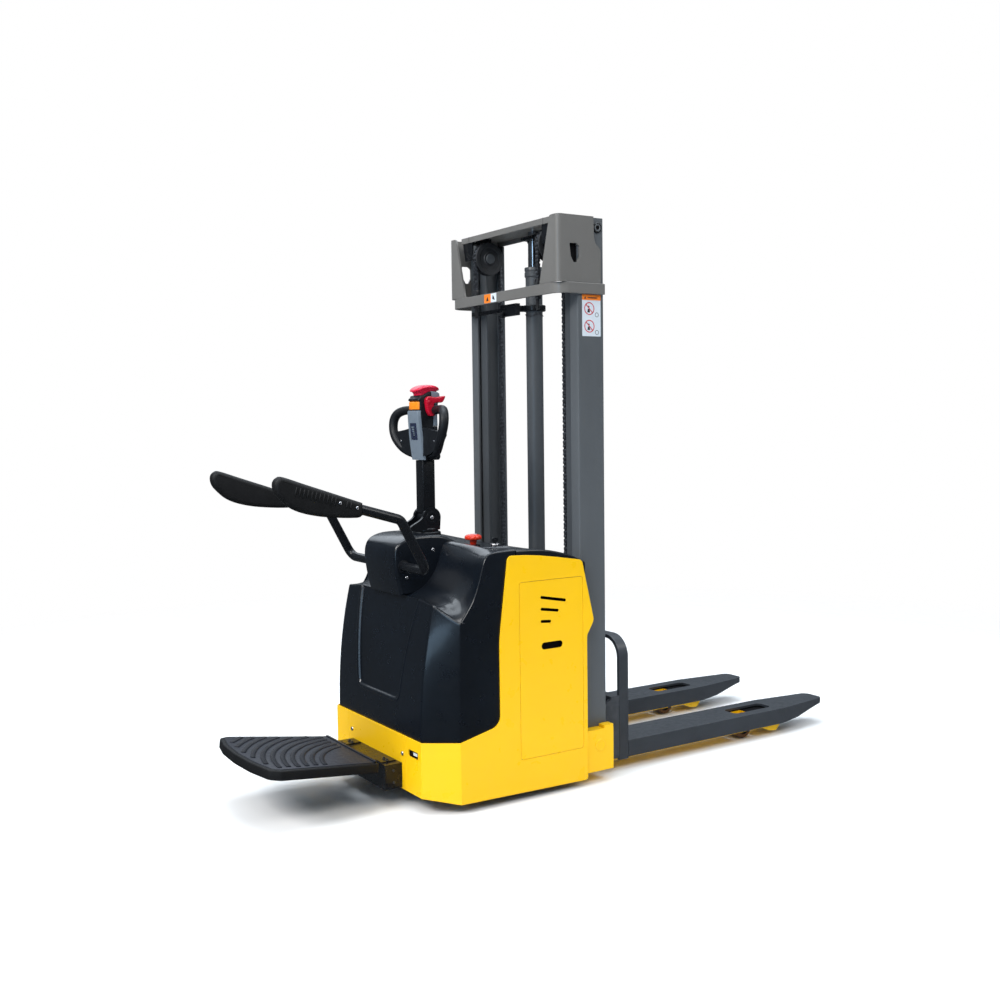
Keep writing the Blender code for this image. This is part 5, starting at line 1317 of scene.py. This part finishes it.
    cap_rows = []
    outline = [(0.231 + 0.051 * math.copysign(abs(math.cos(a)) ** 0.62, math.cos(a)),
        0.045 * math.copysign(abs(math.sin(a)) ** 0.62, math.sin(a))) for a in [2 * math.pi * k / 64
        for k in range(64)]]
    levels = [(0.3, 1.511), (0.55, 1.5096), (0.78, 1.507), (0.9, 1.505), (0.97, 1.5025), (1.0, 1.4995),
        (0.985, 1.497), (0.9, 1.495), (0.84, 1.4915), (0.8, 1.487), (0.77, 1.481), (0.75, 1.472)]
    for scale, z in levels:
        row = []
        for x, y in outline:
            along = (x - 0.231) / 0.049
            bow = 0.011 * along * along * scale * scale * (z > 1.486) - 0.003 * (y / 0.045) ** 2 * scale
            row.append((0.231 + (x - 0.231) * scale, y * scale, z - bow + (0.004
                if along > 0 else 0) * abs(along) * scale))
        cap_rows.append(row)
    cap = loft(cap_rows)
    stem = cushion(rounded(rectangle((0.2, -0.03), (0.255, 0.03)), 0.006), "Z", 1.478, 1.495, 0.001, 2)
    piece("belly_cap", combine(cap, [stem]), CRIMSON, "belly_button", ["belly_button"], sharp=50)

    horn = spline([(0.186, -0.0372), (0.1815, -0.03), (0.1795, 0.0), (0.1815, 0.03), (0.186, 0.0372)], 5)
    horn = [(0.194, -0.0372)] + horn + [(0.194, 0.0372)]
    piece("horn_cap", cushion(horn, "Z", 1.419, 1.449, 0.003, 3), ORANGE, "horn_button", ["horn_button"],
        sharp=50)

    wings = []
    for side in (-1, 1):
        wing = spline([(0.206, 1.46), (0.2035, 1.446), (0.206, 1.425), (0.211, 1.408), (0.223, 1.395),
            (0.239, 1.396), (0.246, 1.407), (0.24, 1.419), (0.236, 1.433), (0.24, 1.442), (0.252, 1.445),
            (0.264, 1.444), (0.276, 1.448), (0.286, 1.468), (0.27, 1.468), (0.254, 1.465), (0.24, 1.465),
            (0.227, 1.467), (0.216, 1.4675)], 4, closed=True)
        wings.append(cushion(wing, "Y", side * 0.0432, side * 0.064, 0.0045, 4))
    shaft = cylinder("Y", THROTTLE, 0.0058, -0.05, 0.05)
    piece("throttle_wings", joined([shaft] + wings), RED, "throttle", ["throttle"], sharp=45)
    hubs = [screw((THROTTLE[0], side * 0.064, THROTTLE[1]), (0, side, 0), 0.0065, 0.0018, socket=False)
        for side in (-1, 1)]
    piece("throttle_hubs", joined(hubs), RED, "throttle")


# ---- Platform ----------------------------------------------------------------------------------
HINGE = (-0.088, 0.15)
TILT = math.radians(7.6)


def platform():
    mount = box((-0.069, -0.2, 0.062), (-0.0005, 0.2, 0.152))
    lugs = []
    for side in (-1, 1):
        lug = [(-0.066, 0.09), (-0.066, 0.1515), (HINGE[0], HINGE[1] + 0.013), (HINGE[0] - 0.012, HINGE[1]),
            (HINGE[0], HINGE[1] - 0.013)]
        lugs.append(prism(lug, "Y", side * 0.06, side * 0.1))
        lugs.append(cylinder("Y", HINGE, 0.006, side * 0.09, side * 0.15, 20))
        lugs.append(side_box(side, (-0.0665, -0.008), (0.118, 0.168), (0.1505, 0.1565)))
    piece("step_mount", combine(mount, lugs), BLACK, "chassis", ["platform_mount"], bevel=0.0022)
    bolts = [hex_bolt((-0.037, side * y, 0.1565), (0, 0, 1), 0.0085, 0.007) for side in (-1, 1)
        for y in (0.131, 0.155)]
    bolts += [screw((-0.034, side * 0.2, z), (0, side, 0), 0.0055, 0.003) for side in (-1, 1)
        for z in (0.085, 0.128)]
    piece("step_bolts", joined(bolts), BOLT, "chassis")

    thick, top = 0.034, 0.019
    plan = [(-0.015, -0.222), (-0.015, 0.222), (-0.4, 0.262), (-0.438, 0.24), (-0.463, 0.13), (-0.471, 0.0),
        (-0.463, -0.13), (-0.438, -0.24), (-0.4, -0.262)]
    edge = rounded(plan, [0.01, 0.01, 0.028, 0.03, 0.2, 0.3, 0.2, 0.03, 0.028], 6)
    deck = cushion(edge, "Z", top - thick, top, 0.0045, 4)
    knuckles, notches, bores = [], [], []
    for side in (-1, 1):
        knuckles.append(cylinder("Y", (0.0, 0.0), 0.013, side * 0.101, side * 0.16))
        knuckles.append(side_box(side, (-0.03, -0.004), (0.101, 0.16), (-0.01, 0.01)))
        notches.append(side_box(side, (-0.0175, 0.03), (0.058, 0.101), (-0.05, 0.05)))
        bores.append(cylinder("Y", (0.0, 0.0), 0.0063, side * 0.08, side * 0.152))
    deck = cut(combine(cut(deck, notches), knuckles), bores)
    rim = inset(edge, 0.016)
    flat = cushion(rim, "Z", top - 0.002, top + 0.0022, 0.0018, 3)
    bar = cushion(rounded(rectangle((-0.029, -0.205), (-0.019, 0.205)), 0.003), "Z", top, top + 0.0075,
        0.002, 3)

    studs = bmesh.new()
    for k in range(14):
        radius = 0.356 + 0.034 * k
        steps = int(2 * math.pi * radius / 0.0125)
        for i in range(steps):
            a = 2 * math.pi * i / steps
            x, y = 0.13 + radius * math.cos(a), -0.27 + radius * math.sin(a)
            if not inside((x, y), inset(edge, 0.034)) or x > -0.045:
                continue
            out, turn = Vector((math.cos(a), math.sin(a), 0)), Vector((-math.sin(a), math.cos(a), 0))
            rings = []
            for grow, level in ((1.0, 0.0015), (1.0, 0.0042), (0.7, 0.0066)):
                rings.append([studs.verts.new(Vector((x, y, top + level)) + out * (sx * 0.009 * grow)
                    + turn * (sy * 0.0045 * grow)) for sx, sy in ((-1, -0.6), (-0.6, -1), (0.6, -1),
                    (1, -0.6), (1, 0.6), (0.6, 1), (-0.6, 1), (-1, 0.6))])
            for first, second in zip(rings, rings[1:]):
                for c in range(8):
                    d = (c + 1) % 8
                    studs.faces.new((first[c], first[d], second[d], second[c]))
            studs.faces.new(rings[0][::-1])
            studs.faces.new(rings[-1])
    bmesh.ops.recalc_face_normals(studs, faces=studs.faces)

    def settled(bm):
        bmesh.ops.rotate(bm, verts=bm.verts, cent=(0, 0, 0), matrix=Matrix.Rotation(TILT, 3, "Y"))
        bmesh.ops.translate(bm, verts=bm.verts, vec=(HINGE[0], 0, HINGE[1]))
        return bm

    piece("step_plate", settled(deck), RUBBER, "platform", ["platform_plate"], bevel=0.001, sharp=50)
    piece("step_mat", settled(flat), MAT, "platform")
    piece("step_bar", settled(bar), MAT, "platform")
    piece("step_studs", settled(studs), STUD, "platform", sharp=45)


def inside(point, outline):
    """Whether a point lies within a closed outline."""
    x, y = point
    hits = False
    for (x0, y0), (x1, y1) in zip(outline, outline[1:] + outline[:1]):
        if (y0 > y) != (y1 > y) and x < x0 + (x1 - x0) * (y - y0) / (y1 - y0):
            hits = not hits
    return hits


# ---- Side arms ---------------------------------------------------------------------------------
GRIP_START = Vector((-0.1905, 1.0815))
BEND = Vector((-0.04, 1.037))
ARM_Y = 0.299


def side_arm(word, side):
    body = "arm_" + word
    ahead = (GRIP_START - BEND).normalized()
    tail = GRIP_START + ahead * 0.175
    pivot_x, pivot_z = ARM_PIVOT
    points = [(pivot_x, side * 0.04, pivot_z), (pivot_x, side * ARM_Y, pivot_z),
        (BEND.x, side * ARM_Y, BEND.y), (tail.x, side * ARM_Y, tail.y)]
    piece("arm_bar_" + word, tube(bent_path(points, 0.036, 12), 0.0173, 32), BLACK, body,
        ["arm_tube_" + word], sharp=50)
    outline = [(-0.1905, 1.1045)] + spline([(-0.2, 1.1078), (-0.3, 1.1425), (-0.4, 1.177), (-0.47, 1.2015),
        (-0.487, 1.201), (-0.5, 1.19), (-0.5035, 1.172), (-0.497, 1.15), (-0.48, 1.129), (-0.448, 1.101),
        (-0.405, 1.081), (-0.343, 1.066), (-0.262, 1.057), (-0.21, 1.0545)], 4)
    outline += [(-0.2, 1.056), (-0.1905, 1.062)]
    grip = cushion(outline, "Y", side * (ARM_Y - 0.0225), side * (ARM_Y + 0.0225), 0.015, 7)
    start = GRIP_START - ahead * 0.03
    end = GRIP_START + ahead * 0.18
    bore = tube([(p.x, side * ARM_Y, p.y) for p in (start, start.lerp(end, 0.5), end)], 0.0178, 24)
    piece("grip_body_" + word, cut(grip, [bore]), RUBBER, body, ["arm_grip_" + word], sharp=50)
    ribs = []
    for k in range(15):
        middle = Vector((-0.238, 1.098)).lerp(Vector((-0.434, 1.153)), k / 14)
        if k in (2, 3):
            continue
        lean = Vector((ahead.y, -ahead.x)) * 0.0185
        reach = 0.95 if k > 3 else 0.7
        y = side * (ARM_Y + 0.0212)
        path = [(middle.x + lean.x * t * reach, y + side * 0.002 * (1 - t * t),
            middle.y + lean.y * t * reach) for t in (-1, -0.75, -0.4, 0, 0.4, 0.75, 1)]
        ribs.append(tube(path, [0.001, 0.0026, 0.0034, 0.0037, 0.0034, 0.0026, 0.001], 10))
    piece("grip_ribs_" + word, joined(ribs), RUBBER, body, sharp=60)
    heads = [screw((x, side * (ARM_Y + way * 0.0222), z), (0, side * way, 0), 0.0062, 0.0034) for x, z,
        way in ((-0.277, 1.108, 1), (-0.215, 1.089, 1), (-0.215, 1.089, -1))]
    piece("grip_screws_" + word, joined(heads), STEEL, body)


# ---- Labels ------------------------------------------------------------------------------------
def labels():
    y = -0.3754
    sheets = rounded(rectangle((0.694, 1.683), (0.78, 1.836)), 0.003)
    piece("label_panel", prism(sheets, "Y", y, y + 0.0005), PAPER, "chassis")
    band = rounded(rectangle((0.694, 1.816), (0.78, 1.8365)), 0.002)
    piece("label_band", prism(band, "Y", y - 0.0002, y + 0.0001), LABEL_ORANGE, "chassis")
    rings, marks = [], [prism([(0.703, 1.8205), (0.713, 1.8205), (0.708, 1.83)], "Y", y - 0.0004,
        y - 0.0001)]
    marks.append(box((0.72, y - 0.0004, 1.823), (0.765, y - 0.0001, 1.827)))
    for z in (1.785, 1.72):
        centre = (0.727, z)
        rings.append(cut(cylinder("Y", centre, 0.0235, y - 0.0004, y - 0.0001, 40),
            [cylinder("Y", centre, 0.02, y - 0.001, y + 0.001, 40)]))
        bar = [(0.71, z + 0.0145), (0.7125, z + 0.017), (0.744, z - 0.0145), (0.7415, z - 0.017)]
        rings.append(prism(bar, "Y", y - 0.0004, y - 0.0001))
        marks.append(cylinder("Y", (0.724, z + 0.006), 0.004, y - 0.0003, y, 16))
        figure = [(0.7205, z - 0.001), (0.7275, z - 0.001), (0.73, z - 0.014), (0.718, z - 0.014)]
        marks.append(prism(figure, "Y", y - 0.0003, y))
        marks.append(cut(cylinder("Y", (0.762, z - 0.022), 0.0085, y - 0.0003, y, 24),
            [cylinder("Y", (0.762, z - 0.022), 0.0068, y - 0.001, y + 0.001, 24)]))
    piece("label_rings", joined(rings), LABEL_RED, "chassis")
    piece("label_marks", joined(marks), INK, "chassis")
    x = 0.5778
    piece("ring_label_orange", box((x - 0.0003, 0.069, 1.841), (x + 0.0004, 0.117, 1.875)), LABEL_ORANGE,
        "chassis")
    piece("ring_label_white", box((x - 0.0003, 0.028, 1.841), (x + 0.0004, 0.0685, 1.875)), PAPER,
        "chassis")
    figure = [prism([(0.084, 1.848), (0.102, 1.848), (0.093, 1.867)], "X", x - 0.0005, x),
        prism([(0.04, 1.848), (0.057, 1.854), (0.054, 1.869), (0.045, 1.862)], "X", x - 0.0005, x)]
    piece("ring_label_marks", joined(figure), INK, "chassis")


# ---- CAD nodes that stay, with their finish ----------------------------------------------------
KEPT = {
    "base_frame": BLACK, "arm_bracket": BLACK, "battery": CASE, "pump_unit": CAST, "dash_panel": BLACK,
    "carriage_frame": FORK, "drive_unit": CAST, "caster_fork_right": STEEL, "caster_fork_left": STEEL,
}


def dress_kept():
    for name, look in KEPT.items():
        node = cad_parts[name]
        node.data.materials.clear()
        node.data.materials.append(look)
        edge = node.modifiers.new("edge", "BEVEL")
        edge.width, edge.segments, edge.limit_method = 0.0008, 2, "ANGLE"
        edge.angle_limit = math.radians(40)
        edge.harden_normals = True


# ---- Build -------------------------------------------------------------------------------------
stage()
skirt()
hood_rear()
arm_housing()
hood_deck()
hood_lid()
controls()
mast_ring()
lift_cylinder()
head_beam()
chains()
carriage()
running_gear()
tiller_stem()
tiller_head()
platform()
for word, side in SIDES:
    side_cover(word, side)
    access_panel(word, side)
    leg(word, side)
    fork(word, side)
    outer_mast(word, side)
    sheave(word, side)
    side_arm(word, side)
labels()
dress_kept()
